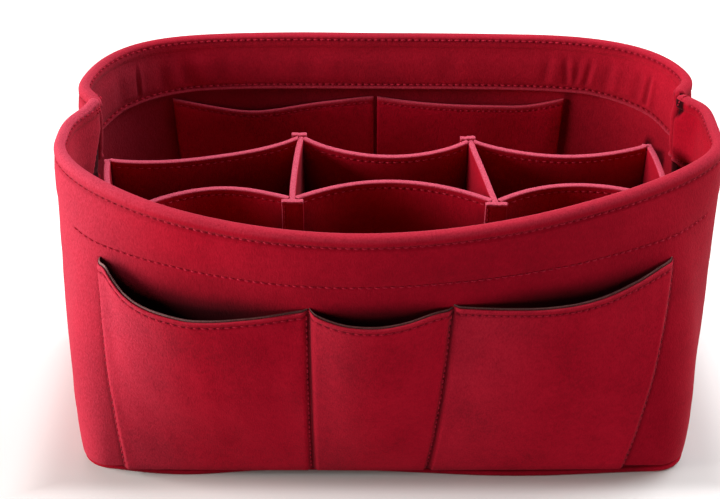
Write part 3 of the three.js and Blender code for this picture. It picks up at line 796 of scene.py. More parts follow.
# grow: mm outside the base outline; low, high: heights; radius: of the edge;
# bellies: where the pockets push the front edge out, (place across, width, mm);
# shade: how dark its painted shade is, except at its left and right end
bottom = {
    "panel": {
        "grow": 3.0, "low": 0.0, "high": 2.6, "radius": 1.2, "shade": 0.4,
        "bellies": [(-93, 26, 3.0), (58, 52, 4.0), (-130, 12, -1.5)],
    },
    "lining": {"grow": -1.1, "low": 5.0, "high": 6.6, "radius": 0.6, "shade": 0.0, "bellies": []},
}


# rings of the base outline from the middle out, over the rounded edge and back;
# the front edge is pushed out by a bell at each belly
def makePlate(name, c, plate):
    low, high, radius = plate["low"], plate["high"], plate["radius"]
    outline = evenly(baseLine(c, plate["grow"]), 721)[:-1]
    for at, width, push in plate["bellies"]:
        outline[:, 1] -= push * bell(outline[:, 0], at, width) * smooth(-outline[:, 1] / 20 - 1)
    middle = outline.mean(0)
    spokes = np.array([0.25, 0.5, 0.7, 0.85, 0.95])
    turn = np.linspace(0, math.pi / 2, 5)
    inset = radius * (1 - np.sin(np.concatenate([turn, turn[::-1]])))
    sink = radius * (1 - np.cos(turn))
    height = np.concatenate([high - sink, low + sink[::-1]])
    unit = outline - middle
    unit = unit / np.linalg.norm(unit, axis=1, keepdims=True)
    edge = outline[None] - unit[None] * inset[:, None, None]
    rim = np.concatenate([edge, height[:, None, None] + 0 * edge[..., :1]], -1)
    top = middle + (edge[0] - middle)[None] * spokes[:, None, None]
    top = np.concatenate([top, high + 0 * top[..., :1]], -1)
    under = top[::-1].copy()
    under[..., 2] = low
    rings = np.concatenate([top, rim, under]) + origin
    count, around = rings.shape[:2]
    index = np.arange(count * around).reshape(count, around)
    wrapped = np.concatenate([index, index[:, :1]], 1)
    ends = [np.append(middle, high) + origin, np.append(middle, low) + origin]
    points = np.concatenate([rings.reshape(-1, 3), ends])
    n = count * around
    first, last = wrapped[0].tolist(), wrapped[-1].tolist()
    faces = gridFaces(wrapped).tolist()
    faces += [[n, a, b] for a, b in zip(first[1:], first[:-1])]
    faces += [[n + 1, a, b] for a, b in zip(last[:-1], last[1:])]
    # the painted shade fades towards the left and the right end
    across = np.abs(points[:, 0] - origin[0] - c["baseShift"])
    inward = smooth((c["baseHalfWidth"] - 8 - across) / 14)
    obj = addMesh(name, points, faces, values={"shade": plate["shade"] * inward})
    fixOutward(obj)
    return obj


# turns every face if the mesh's signed volume is negative
def fixOutward(obj):
    mesh = obj.data
    points = np.zeros(len(mesh.vertices) * 3)
    mesh.vertices.foreach_get("co", points)
    mesh.calc_loop_triangles()
    triangles = np.zeros(len(mesh.loop_triangles) * 3, int)
    mesh.loop_triangles.foreach_get("vertices", triangles)
    p = points.reshape(-1, 3)[triangles.reshape(-1, 3)]
    if np.einsum("ij,ij->i", p[:, 0], np.cross(p[:, 1], p[:, 2])).sum() < 0:
        mesh.flip_normals()


basePanel = makePlate("basePanel", shell, bottom["panel"])
baseLining = makePlate("baseLining", shell, bottom["lining"])


# Seam tapes inside the side seams

# reach: mm to each side of the seam; out: of its middle, from the panels' own surface;
# gap: mm below the facings
tape = {"reach": 5, "thickness": 1.1, "radius": 0.55, "out": -1.05, "bottom": 7.5, "gap": 1.5}


# a band over the seam that follows both panels up to the facings, with rounded edges
def makeTape(name, c, one, side):
    radius, low, wide = one["radius"], one["bottom"], one["reach"]
    reach = levelsTo(2 * wide, 1.2, radius)[None, :] - wide
    drop = dropAt(c, frontPanel, 0 if side == "left" else 1)
    long = c["facingBottom"] - drop - one["gap"] - low
    h = (low + levelsTo(long, 4, radius))[:, None]
    fromEnd = np.minimum(h - low, long + low - h)
    size = roundOff(wide - np.abs(reach), radius) * roundOff(fromEnd, radius)
    faces = []
    for sign in (1, -1):
        out = one["out"] + sign * one["thickness"] / 2 * size
        grids = []
        for panel in (frontPanel, backPanel):
            away = np.abs(reach) / panel["length"] + 0 * h
            s = away if side == "left" else 1 - away
            grids.append(onPanel(panel, s, h / c["rimHeight"], out))
        faces.append(np.where((reach < 0)[..., None], *grids))
    # painted shade in the seam's gap, darkest on the front half
    dark = 0.4 + 0.55 * smooth(0.5 - reach / 2) + 0 * h
    return closedSheet(name, *faces, shade=(dark, dark))


tapes = {side: makeTape(f"seamTape{side.title()}", shell, tape, side) for side in ("left", "right")}
print("base and tapes made")


# Pockets

# soft dents of the pocket fronts: (place across, place up, depth mm, width across, width up)
pocketDents = {
    "Left": [(0.08, 0.80, 0.9, 0.05, 0.16), (0.86, 0.55, 0.5, 0.10, 0.3)],
    "Centre": [(0.12, 0.55, 0.5, 0.10, 0.3), (0.9, 0.6, 0.6, 0.08, 0.3),
               (0.5, 0.35, -0.5, 0.25, 0.3)],
    "Right": [(0.06, 0.86, 1.1, 0.035, 0.09), (0.14, 0.78, 0.9, 0.05, 0.10),
              (0.1, 0.6, 0.6, 0.05, 0.25), (0.78, 0.7, 0.5, 0.16, 0.25)],
}


# grid over a sheet of wide by high mm: fractions u across and w up, the rows' distances
# below the top, and each point's distance from the nearer side and from the top
def sheetGrid(wide, high, steps, radii, fine):
    drop = levelsTo(high, steps[1], radii[1], fine)
    u, w = np.broadcast_arrays(
        (levelsTo(wide, steps[0], radii[0]) / wide)[None, :], (1 - drop[::-1] / high)[:, None])
    return u, w, drop, np.minimum(u, 1 - u) * wide, (1 - w) * high


# a grid's values, at the fractions across, in the row closest to a distance below the top
def alongRow(values, u, drop, distance, across):
    return np.interp(across, u[0], values[int(np.argmin(np.abs(drop[::-1] - distance)))])


# panel and lining of one outer pocket; u runs across between its seams, w up to the curved
# mouth; each is a middle surface plus and minus half the thickness, plus dents, less furrows
def makeOuterPocket(c, index, name):
    one = c["outer"][name]
    low = c["bottom"] / shell["rimHeight"]
    wide, high, mouth, seam = one["wide"], c["outerHigh"], c["mouthStitch"], c["seamStitch"]
    u, w, drop, away, fromTop = sheetGrid(wide, high, (1.0, 3.5), (1.4, 1.0), [(mouth, 1.8)])

    def surface(u, w, out):
        v = low + (through(one["mouth"], u) - low) * w
        start, end = pocketSides(c, index, v)
        return onPanel(frontPanel, start + (end - start) * u, v, out + gapeOf(one, u, w))

    def row(u, w, sink, count):
        points = surface(u, w, c["panelOut"] - sink)
        return points, normalsAt(frontPanel, 0.2 + 0.6 * u, 0.7 + 0 * u, 1, 0.12), count

    fade = smooth(away / 8) * smooth((w - 0.02) / 0.12)
    (broad, broadSize), (fine, fineSize) = c["uneven"]
    shape = broad * waves(u * wide, w * high, 60 + index, broadSize) * fade
    shape = shape + fine * waves(u * wide, w * high, 70 + index, fineSize) * fade
    for at, up, depth, reach, rise in pocketDents[name]:
        shape = shape - depth * bell(u, at, reach) * bell(w, up, rise)
    # stitch holes: across in the mouth's row, up along the seams
    start, end, lowest, highest = 2.0 / wide, 1 - 2.0 / wide, 0.02, 1 - 2.2 / high
    countAcross = int((end - start) * wide / shell["pitch"])
    countUp = int((highest - lowest) * high / shell["pitch"])
    hole, holeUp = holes(u, start, end, countAcross), holes(w, lowest, highest, countUp)
    # only the left pocket is stitched down on its left, the others only on their right
    isLeft = index == 0
    stitched = (u > 0.5) | isLeft
    furrow, dark = stitchMarks(stitchLook["mouth"], fromTop - mouth, hole)
    furrowUp, dots = stitchMarks(stitchLook["seam"], away - seam, holeUp)
    furrow = furrow + stitched * furrowUp
    # painted shade at the holes, along the furrows and the sides, and at the foot
    (side, sideWide), (foot, footHigh) = c["sideShade"], c["footShade"]
    dark = np.maximum(dark, side * (1 - smooth((away - 0.2) / sideWide)) + stitched * dots)
    dark = np.maximum(np.clip(dark, 0, 1), foot * (1 - smooth(w * high / footHigh)))
    # painted highlight on the left bulge, which faces the lamp, growing towards the mouth
    light = one["light"] * smooth((0.55 - u) / 0.5) * (0.45 + 0.55 * smooth((w - 0.2) / 0.7))
    # paler: the mouth's pale cut edge, and the painted highlight
    worn = np.maximum(0.35 * bell(fromTop, 0.0, 0.9), light)
    pull, pullWide = c["seamPull"]
    down = pull * (1 - smooth(away / pullWide))
    lip = 0.06 * bell(fromTop, 1.0, 1.0)
    sides = roundOff(away, 1.4) * roundOff(w * high, 1.0)
    size = roundOff(fromTop, 0.6, 3) * sides
    inwards = np.minimum(size * 3, 1)
    middle, half = (c["panelOut"] + c["liningOut"]) / 2, (c["panelOut"] - c["liningOut"]) / 2
    outSide = middle + half * size + (shape - furrow + lip) * inwards - down
    inSide = middle - half * size - down * 0.8 + shape * inwards * 0.7
    # its inside face is painted dark as shade
    panelObj = closedSheet(f"outerPocket{name}", surface(u, w, outSide), surface(u, w, inSide),
                           edge=(worn, 0.0), shade=(dark, 0.8))
    # lining: a thinner sheet behind it, its top edge a hair higher
    middle, half = (c["liningOut"] + c["liningIn"]) / 2, (c["liningOut"] - c["liningIn"]) / 2
    half = half * roundOff(fromTop, 0.45, 3) * sides
    middle = middle - down * 0.7 + shape * 0.7 * inwards
    place = [surface(u, w * (1 + 0.5 / high), middle + sign * half) for sign in (1, -1)]
    brim = bell(fromTop, 0.0, 0.8) * (1 - 0.75 * smooth((u - 0.15) / 0.6) if isLeft else 0.3)
    # the lining's back face is painted dark as shade, all but its top edge
    liningObj = closedSheet(f"outerPocketLining{name}", *place,
                            edge=(brim, 0.8 * brim), shade=(0.0, 1 - brim))
    # stitch lines: along the mouth, and beside each seam
    across, upward = np.linspace(start, end, int(wide)), np.linspace(lowest, highest, 110)
    sink = 0.18 - alongRow(shape, u, drop, mouth, across)
    lines = [row(across, 1 - mouth / high + 0 * across, sink, countAcross)]
    for sideAt in (0, 1) if isLeft else (1,):
        lines.append(row(abs(sideAt - seam / wide) + 0 * upward, upward, pull, countUp))
    return panelObj, liningObj, lines


outerPockets, pocketLines = {}, []
for index, name in enumerate(pocket["outer"]):
    panelObj, liningObj, lines = makeOuterPocket(pocket, index, name)
    outerPockets[name] = (panelObj, liningObj)
    pocketLines += lines
pocketStitches = stitchRows("pocketStitches", pocketLines)


# one sheet on the inside of the back wall, its mouth sagging between the side seams
def makeInnerPocket(c, name):
    one = c["inner"][name]
    low = c["innerBottom"] / shell["rimHeight"]
    wide, high, mouth = c["innerWide"], c["innerHigh"], c["innerStitch"]
    half = c["innerThickness"] / 2
    middle = c["innerOut"] - half
    u, w, drop, away, fromTop = sheetGrid(wide, high, (2.0, 4), (0.8, 0.8), [(mouth, 1.6)])

    # fractions along the back panel and up it
    def placeOf(u, w):
        s = one["from"] + (one["to"] - one["from"]) * u
        return s, low + (through(one["mouth"], u) - low) * w

    amount, across = c["innerUneven"]
    shape = amount * waves(u * wide, w * high, one["seed"], across) * smooth(away / 8)
    size = roundOff(fromTop, 0.7, 3) * roundOff(away, 0.8) * roundOff(w * high, 0.8)
    start, end = 0.02, 0.98
    count = int((end - start) * wide / shell["pitch"])
    hole = holes(u, start, end, count)
    furrow, dark = stitchMarks(stitchLook["inner"], fromTop - mouth, hole)
    faces = []
    for sign in (-1, 1):
        out = middle + sign * (half * size) - gapeOf(one, u, w) + shape
        out = out + (furrow if sign < 0 else 0) * size
        faces.append(onPanel(backPanel, *placeOf(u, w), np.minimum(out, -0.05)))
    cut = bell(fromTop, 0, 1.2)
    # the cut top edge is pale; the inner face below it is painted dark as shade
    obj = closedSheet(f"innerPocket{name}", *faces, edge=(cut, cut), shade=(dark, 0.7 * (1 - cut)))
    across, up = np.linspace(start, end, 100), 1 - mouth / high
    s, v = placeOf(across, up)
    out = middle - half + c["innerSink"] - gapeOf(one, across, up)
    out = out + alongRow(shape, u, drop, mouth, across)
    return obj, (onPanel(backPanel, s, v, out), normalsAt(backPanel, s, v, -1), count)


innerPockets, innerLines = {}, []
for name in pocket["inner"]:
    innerPockets[name], line = makeInnerPocket(pocket, name)
    innerLines.append(line)
innerStitches = stitchRows("innerPocketStitches", innerLines)
print("pockets made")


# The divider rack: bowed upright sheets tied by narrow strips

rack = {
    "thickness": 2.7, "bottom": 6.9, "top": 125.0,
    # plan places of the junctions from left to right, at the rear and at the front
    "rear": [(-125.8, 18.5), (-39.8, 38.2), (37.7, 35.1), (118.6, 31.2)],
    "front": [(-114, -24), (-41.9, -11.7), (45.3, -13.9), (119, -13)],
    "rearBow": (-2.5, -9.5, -5.7), "frontBow": (14, 14.8, 12.8), "dividerBow": (-2.4, -0.7, 0, 1.5),
    # the rear panels' tops sag by the dip and peak at both ends
    "rearDip": 3.0, "rearPeak": 1.2,
    # how much shorter the panels are at each end; how far the dividers stay back
    "endInset": 1.45, "relief": 0.7,
    "stitchDrop": 3.0, "edge": 0.9, "uneven": (0.35, 48),
    # painted shade: down inside the cells and in their corners (how much, over how many mm), the
    # dividers' share of that, and on their right sides
    "cellShade": (0.5, 26), "cornerShade": (0.3, 7), "dividerDim": 0.7,
    "dividerShade": (0.3, 0.55, 0.1, 0.1),
    # strips: widths, share of it at the rack's ends, mm from the panels
    "stripRear": 7.0, "stripFront": 9.4, "stripEnd": 0.62, "stripThickness": 1.5, "gap": 0.3,
    # mm above the panels' tops, and of the rear ones at the rack's ends; how far the frayed
    # head spreads outwards and inwards; stitch line's distance from the edge, and its furrow
    "stripHead": 0.6, "stripHeadEnd": -1.2, "frayed": (0.7, 0.3),
    "stripStitch": 1.4, "stripFurrow": 0.35,
    # rear strips: degrees turned, mm moved aside
    "rearTurn": (9, 0, 0, 0), "rearShift": (0, -1.1, -1.1, 0),
}


# surface(u, z, out) of an upright sheet on a plan line a to b bowed by 4 bow t (1 - t);
# its top sags alike by the dip and rises to a small peak at both ends
def uprightSurface(c, a, b, bow, dip, inset):
    a, b = np.array(a, float), np.array(b, float)
    chord = b - a
    total = np.linalg.norm(chord)
    side = np.array([-chord[1], chord[0]]) / total
    peak = c["rearPeak"] if dip else 0

    def line(t):
        return a + chord * t[..., None] + side * (4 * bow * t * (1 - t))[..., None]

    def surface(u, z, out):
        u, z, out = np.broadcast_arrays(*(np.asarray(k, float) for k in (u, z, out)))
        t = inset / total + (1 - 2 * inset / total) * u
        d = line(t + 0.01) - line(t - 0.01)
        d /= np.linalg.norm(d, axis=-1, keepdims=True)
        p = line(t) + np.stack([-d[..., 1], d[..., 0]], -1) * out[..., None]
        rise = peak * np.exp(-np.minimum(t, 1 - t) * total / 4.5)
        top = c["top"] - 4 * dip * t * (1 - t) + rise
        high = c["bottom"] + (top - c["bottom"]) * z
        return np.concatenate([p, high[..., None]], -1) + origin

    def normal(u, sign):
        return sign * (surface(u, 0 * u, 1 + 0 * u) - surface(u, 0 * u, 0 * u))

    return surface, normal, total - 2 * inset


# closed sheet with a cut top edge; returns the object and, if it is stitched, its lines,
# one on each side
def makeUpright(c, name, a, b, bow, dip, inset, seed, stitched, shadeRight=0.0):
    surface, normal, wide = uprightSurface(c, a, b, bow, dip, inset)
    high, at, half = c["top"] - c["bottom"], c["stitchDrop"], c["thickness"] / 2
    fine = [(at, 1.5)] if stitched else []
    u, w, drop, away, fromTop = sheetGrid(wide, high, (1.6, 4), (0.6, c["edge"]), fine)
    size = roundOff(fromTop, c["edge"], 3.5) * roundOff(away, 0.6)
    size = size * roundOff(w * high, c["edge"], 3)
    amount, across = c["uneven"]
    soft = amount * waves(u * wide, w * high, seed, across) * smooth(away / 10)
    # painted shade where light falls off inside the cells, most of all in their corners
    (cell, cellDeep), (corner, cornerWide) = c["cellShade"], c["cornerShade"]
    dark = corner * bell(away, 0, cornerWide) * smooth((fromTop - 1.0) / 8)
    dark = cell * smooth((fromTop - 1.0) / cellDeep) + dark
    furrow, lines = 0, []
    if stitched:
        start, end = 1.5 / wide, 1 - 1.5 / wide
        count = int((end - start) * wide / shell["pitch"])
        hole = holes(u, start, end, count)
        furrow, dots = stitchMarks(stitchLook["rack"], fromTop - at, hole)
        dark = np.maximum(dots, dark)
        across = np.linspace(start, end, int(wide))
        softRow = alongRow(soft, u, drop, at, across)
        for sign in (1, -1):
            points = surface(across, 1 - at / high, sign * (half - 0.22) + softRow)
            lines.append((points, normal(across, sign), count))
    else:
        dark = c["dividerDim"] * dark
    sides = [surface(u, w, sign * size * (half - furrow) + soft) for sign in (1, -1)]
    worn = 1 - smooth(fromTop / 0.9)
    # painted shade on the right side, away from the lamp
    darker = np.maximum(dark, shadeRight * smooth((fromTop - 0.8) / 2))
    return closedSheet(name, *sides, edge=(worn, worn), shade=(darker, dark)), lines


# narrow tie strip outside a junction: an upright sheet with a frayed head that spreads both
# ways and touches the panels; half is 1 or -1 for the narrower ones at the rack's ends
def makeStrip(c, name, place, sign, half, angle, aside, seed):
    full = c["stripRear"] if sign > 0 else c["stripFront"]
    wide = full * c["stripEnd"] if half else full
    shift = half * (0.5 * wide - 0.5 * c["thickness"] - c["gap"]) + aside
    head = c["stripHeadEnd"] if half and sign > 0 else c["stripHead"]
    high = c["top"] + head - c["bottom"]
    thick, at = c["stripThickness"], -wide / 2 + c["stripStitch"]
    near = c["thickness"] / 2 + c["gap"] * 0.4
    cos, sin = math.cos(math.radians(angle)), math.sin(math.radians(angle))

    # point at x along the strip and y out from the rack, turned about the junction
    def turned(x, y, z):
        y = sign * y
        px, py = place[0] + x * cos - y * sin, place[1] + x * sin + y * cos
        return np.stack([px, py, c["bottom"] + z], -1) + origin

    drop = levelsTo(high, 3, 0.5, [(1.2, 1.0)])
    u, z = np.broadcast_arrays(
        levelsTo(wide, 0.8, 0.5)[None, :] - wide / 2, (high - drop[::-1])[:, None])
    fromTop, away = high - z, wide / 2 - np.abs(u)
    size = roundOff(fromTop, 0.5, 3) * roundOff(away, 0.5, 2.5) * roundOff(z, 0.5, 3)
    x = u + shift + 0.25 * waves(0 * u, z, seed, 30)
    ragged = 0.25 * waves(u * 6, 0 * z, seed + 3, 12) * bell(fromTop, 0, 1.5)
    frayed = bell(fromTop, 0, 1.5) * np.minimum(size * 2, 1)
    spreadOut, spreadIn = c["frayed"]
    outSide = near + thick / 2 + thick / 2 * size + spreadOut * frayed
    outSide = outSide - c["stripFurrow"] * bell(u, at, 0.5) * size
    outSide = outSide + 0.12 * waves(u * 3, z, seed, 14) * size
    inSide = near + thick / 2 - thick / 2 * size - spreadIn * frayed
    worn = 1 - smooth((fromTop - 0.6) / 1.2)
    lighter = np.maximum(worn, 0.8 * bell(u, -wide / 2, 0.7))
    # painted shade down the strip, away from its top
    dark = 0.45 * smooth((fromTop - 1) / 14)
    obj = closedSheet(name, turned(x, outSide, z + ragged), turned(x, inSide, z + ragged),
                      edge=(lighter, worn), shade=(dark, dark))
    zs = np.linspace(2, high - 2, 100)
    points = turned(at + shift + 0 * zs, near + thick - 0.15 + 0 * zs, zs)
    return obj, (points, np.tile([-sign * sin, sign * cos, 0.0], (len(zs), 1)), None)


# the CAD's name for a piece: rackRearPanelLeft is rack_rear_panel_left
def nodeOf(name):
    return "".join("_" + k.lower() if k.isupper() else k for k in name)


rackPieces, rackLines, stripLines = [], [], []
flush = -0.5 * rack["thickness"] + rack["relief"]
dividers = ("EndDividerLeft", "CrossDividerLeft", "CrossDividerRight", "EndDividerRight")
for i, name in enumerate(dividers):
    obj, lines = makeUpright(
        rack, f"rack{name}", rack["rear"][i], rack["front"][i], rack["dividerBow"][i], 0, flush,
        100 + i, False, rack["dividerShade"][i])
    rackPieces.append((obj, nodeOf(f"rack{name}")))
for i, side in enumerate(("Left", "Centre", "Right")):
    for row, bows, dip in (("Rear", "rearBow", rack["rearDip"]), ("Front", "frontBow", 0)):
        ends = rack[row.lower()][i:i + 2]
        obj, lines = makeUpright(
            rack, f"rack{row}Panel{side}", *ends, rack[bows][i], dip, rack["endInset"],
            120 + i, True)
        rackPieces.append((obj, nodeOf(f"rack{row}Panel{side}")))
        rackLines += lines
strips = (("LeftEnd", 1), ("Left", 0), ("Right", 0), ("RightEnd", -1))
for i, (side, half) in enumerate(strips):
    rear = ("Rear", 1, rack["rearTurn"][i], rack["rearShift"][i])
    for row, sign, turn, aside in (rear, ("Front", -1, 0, 0)):
        name = f"rack{row}Strip{side}"
        place, seed = rack[row.lower()][i], 140 + 2 * i + sign
        obj, line = makeStrip(rack, name, place, sign, half, turn, aside, seed)
        rackPieces.append((obj, nodeOf(name)))
        stripLines.append(line)
rackStitches = stitchRows("rackStitches", rackLines)
stripStitches = stitchRows("stripStitches", stripLines, pitch=2.6, radius=0.28)
print("rack made")


# Finishes

# sRGB hex value to linear RGBA
def linear(code):
    parts = [int(code[i:i + 2], 16) / 255 for i in (1, 3, 5)]
    parts = [p / 12.92 if p <= 0.04045 else ((p + 0.055) / 1.055) ** 2.4 for p in parts]
    return (*parts, 1.0)


# adds a node; settings name its properties or, with a leading in_, its inputs;
# links is {input: output socket}
def addNode(tree, kind, links=None, **settings):
    node = tree.nodes.new(kind)
    for key, value in settings.items():
        if key.startswith("in_"):
            key = int(key[3:]) if key[3:].isdigit() else key[3:].replace("_", " ")
            node.inputs[key].default_value = value
        else:
            setattr(node, key, value)
    for key, socket in (links or {}).items():
        tree.links.new(socket, node.inputs[key])
    return node


# output of a math node whose inputs are sockets or numbers, in their order
def reckon(tree, operation, *inputs, clamp=False):
    numbers = {f"in_{k}": v for k, v in enumerate(inputs) if isinstance(v, (int, float))}
    links = {k: v for k, v in enumerate(inputs) if f"in_{k}" not in numbers}
    node = addNode(tree, "ShaderNodeMath", links, operation=operation, use_clamp=clamp, **numbers)
    return node.outputs[0]


# factor of a noise that is size metres across
def noise(tree, where, size, **settings):
    node = addNode(tree, "ShaderNodeTexNoise", {"Vector": where}, in_Scale=1 / size, **settings)
    return node.outputs[0]


# colour ramp through (place, sRGB value) stops, the first and last of which come first
def colourRamp(tree, factor, first, last, *between):
    node = addNode(tree, "ShaderNodeValToRGB", {0: factor})
    elements = node.color_ramp.elements
    for k, (place, code) in enumerate((first, last)):
        elements[k].position, elements[k].color = place, linear(code)
    for place, code in between:
        elements.new(place).color = linear(code)
    return node.outputs[0]


# a colour socket, mixed by a factor socket with an sRGB value
def blend(tree, factor, colour, code):
    links = {0: factor, 6: colour}
    return addNode(tree, "ShaderNodeMix", links, data_type="RGBA", in_7=linear(code)).outputs[2]


# empty material, its node tree and its output node
def newMaterial(name):
    material = bpy.data.materials.new(name)
    material.use_nodes = True
    tree = material.node_tree
    tree.nodes.clear()
    out = addNode(tree, "ShaderNodeOutputMaterial")
    return material, tree, out


# brushed polyester microfibre: matt, short nap that scatters light at the edges and clouds
# where it was stroked; level = 0.5 + the three noises' deviations, each times its own share
def suede(name, c):
    material, tree, out = newMaterial(name)
    where = addNode(tree, "ShaderNodeTexCoord").outputs["Object"]
    # clouds of stroked nap, 35 mm across, mottling of 3 mm and fibres of 0.6 mm
    cloud = noise(tree, where, 0.035, in_Detail=3.0, in_Roughness=0.55)
    mottle = noise(tree, where, 0.003, in_Detail=3.0, in_Roughness=0.65)
    stretch = addNode(tree, "ShaderNodeMapping", {"Vector": where}, in_Scale=(1.0, 1.0, 0.45))
    fibre = noise(tree, stretch.outputs[0], 0.0006, in_Detail=2.0, in_Roughness=0.7)
    level = reckon(tree, "MULTIPLY_ADD", cloud, c["cloud"], 0.5 - 0.5 * c["cloud"])
    level = reckon(tree, "MULTIPLY_ADD", mottle, c["mottle"], level)
    level = reckon(tree, "MULTIPLY_ADD", fibre, c["fibre"], level)
    level = reckon(tree, "SUBTRACT", level, 0.5 * (c["mottle"] + c["fibre"]))
    colour = colourRamp(tree, level, (0.2, c["dark"]), (0.8, c["light"]), (0.5, c["colour"]))
    # rubbed and cut edges, and the painted sheen and highlights, are lighter, broken up by the
    # fibres
    edge = addNode(tree, "ShaderNodeAttribute", attribute_name="edge").outputs["Fac"]
    amount = reckon(tree, "MULTIPLY", edge, c["edgeAmount"])
    amount = reckon(tree, "MULTIPLY", fibre, amount, clamp=True)
    amount = reckon(tree, "MULTIPLY", amount, 1.9, clamp=True)
    colour = blend(tree, amount, colour, c["edge"])
    # painted shade: stitch holes, furrows and places that hardly any light gets into
    hidden = addNode(tree, "ShaderNodeAttribute", attribute_name="shade").outputs["Fac"]
    colour = blend(tree, hidden, colour, c["deep"])
    rough = addNode(tree, "ShaderNodeMapRange", {0: fibre}, in_3=0.82, in_4=0.98)
    height = reckon(tree, "MULTIPLY_ADD", mottle, 0.8, fibre)
    bump = addNode(tree, "ShaderNodeBump", {"Height": height},
                   in_Strength=c["bump"], in_Distance=0.00035)
    shader = addNode(
        tree, "ShaderNodeBsdfPrincipled",
        {"Base Color": colour, "Roughness": rough.outputs[0], "Normal": bump.outputs[0]},
        in_Specular_IOR_Level=0.06, in_Sheen_Weight=c["sheen"], in_Sheen_Roughness=0.45,
        in_Sheen_Tint=linear(c["sheenTint"]))
    tree.links.new(shader.outputs[0], out.inputs[0])
    return material


# spun polyester sewing thread: a twist of 0.5 mm and a faint sheen
def threadFinish(name, c):
    material, tree, out = newMaterial(name)
    where = addNode(tree, "ShaderNodeTexCoord").outputs["Object"]
    twist = noise(tree, where, 0.0005, in_Detail=1.0)
    colour = colourRamp(tree, twist, (0.3, c["dark"]), (0.7, c["light"]))
    bump = addNode(tree, "ShaderNodeBump", {"Height": twist}, in_Strength=0.4, in_Distance=0.0002)
    shader = addNode(
        tree, "ShaderNodeBsdfPrincipled", {"Base Color": colour, "Normal": bump.outputs[0]},
        in_Roughness=0.6, in_Specular_IOR_Level=0.08)
    tree.links.new(shader.outputs[0], out.inputs[0])
    return material


# sRGB values; edge: of rubbed and cut places and of painted sheen and highlights, deep: of painted
# shade; the rest are shares of each noise, of the bump and of the sheen
suedeLook = {
    "colour": "#b20a26", "dark": "#93081f", "light": "#c7132f",
    "edge": "#dc5069", "edgeAmount": 0.53, "deep": "#1e0105",
    "cloud": 0.6, "mottle": 0.36, "fibre": 0.6, "bump": 0.5,
    "sheen": 0.2, "sheenTint": "#ff96a4",
}
finishes = {
    # red suede of the walls and the bottom, and the same suede painted slightly lighter for the
    # outer pockets, as painted light
    "shell": suede("brushedSuedeShell", suedeLook),
    "pocket": suede("brushedSuedePocketPaintedLighter", {**suedeLook, "colour": "#bf0c2a", "light": "#d41634"}),
    # the same suede on the rack, with pale cut edges
    "rack": suede("brushedSuedeRack", {
        **suedeLook, "edge": "#e0607a", "edgeAmount": 0.85, "sheen": 0.1, "deep": "#30030a"}),
    # the same suede painted lighter for the inner pockets, as painted light; their cut edges are
    # pale
    "innerPocket": suede("brushedSuedeInner", {
        **suedeLook, "colour": "#c80c2c", "light": "#dc1838", "edgeAmount": 0.7}),
    # thin brown backing cloth
    "lining": suede("pocketBacking", {
        **suedeLook, "colour": "#4e1a1a", "dark": "#3a1212", "light": "#663030",
        "edge": "#a07c7c", "edgeAmount": 0.95, "sheen": 0.1, "sheenTint": "#a08078"}),
    "thread": threadFinish("redSewingThread", {"dark": "#a40f2a", "light": "#c82a44"}),
    "threadLight": threadFinish("paleRedSewingThread", {"dark": "#a8142c", "light": "#c83048"}),
    # grey paper board between the base's layers
    "board": suede("greyBoard", {
        **suedeLook, "colour": "#77706a", "dark": "#5f5a55", "light": "#8c857e",
        "edge": "#9c958e", "sheen": 0.0, "sheenTint": "#ffffff"}),
}


# gives a piece its finish in a new material slot, its body, and hides the nodes that it stands for;
# slotName is not used
def finish(obj, material, body, slotName, *nodes):
    obj.data.materials.append(finishes[material])
    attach(obj, body)
    if nodes:
        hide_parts(*nodes)


finish(frontWall, "shell", "shell", "shell_suede", "front_wall", "front_rim_roll", "front_facing")
finish(backWall, "shell", "shell", "shell_suede", "back_wall", "back_rim_roll", "back_facing")
finish(shellStitches, "thread", "shell", "shell_suede")
finish(basePanel, "shell", "shell", "shell_suede", "base_panel")
finish(baseLining, "shell", "shell", "shell_suede", "base_lining")
for side, obj in tapes.items():
    finish(obj, "shell", "shell", "tape", f"side_seam_tape_{side}")
for name, (panelObj, liningObj) in outerPockets.items():
    one = pocket["outer"][name]
    finish(panelObj, "pocket", "shell", "pocket_suede", one["node"])
    finish(liningObj, "lining", "shell", "lining", one["lining"])
for name, obj in innerPockets.items():
    one = pocket["inner"][name]
    finish(obj, "innerPocket", "shell", "pocket_suede", one["node"])
finish(pocketStitches, "thread", "shell", "pocket_suede")
finish(innerStitches, "thread", "shell", "pocket_suede")
for obj, node in rackPieces:
    finish(obj, "rack", "divider_rack", "divider_suede", node)
finish(rackStitches, "threadLight", "divider_rack", "divider_suede")
finish(stripStitches, "thread", "divider_rack", "divider_suede")
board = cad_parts["base_board"]
board.data.materials.clear()
board.data.materials.append(finishes["board"])
print("finishes set")


# Stage: pale floor, soft lamps, white background

stage = {
    # what the camera sees of the floor, what the object gets back from it, its glow, half its size
    "floor": 0.80, "floorBounce": 0.29, "floorGlow": 0.31, "floorSize": 6.0,
    # the glow comes in over a band about the object: half width and depth where it starts,
    # and the multiple of them where it is full
    "shadeReach": (0.146, 0.0672), "shadeEnd": 1.19,
    # the white backdrop far off: multiples where it starts and where it is full, and its glow
    "backdrop": (4, 16), "backdropGlow": 0.8,
    "world": 0.02, "aim": (0, 0, 0.09),
    # name, turn from the front to the right and height above the horizon in degrees,
    # distance, size, power, colour
    "lamps": [
        ("key", -86, 15, 1.35, 0.75, 25.3, "#fff8f2"),
        ("top", 172, 68, 1.3, 1.1, 9.3, "#ffffff"),
        ("front", 0, 6, 1.3, 0.6, 4.5, "#fffaf6"),
        ("side", 90, 15, 1.3, 0.8, 3.6, "#fffaf6"),
        ("back", 120, 40, 1.3, 0.9, 11.0, "#ffffff"),
    ],
}


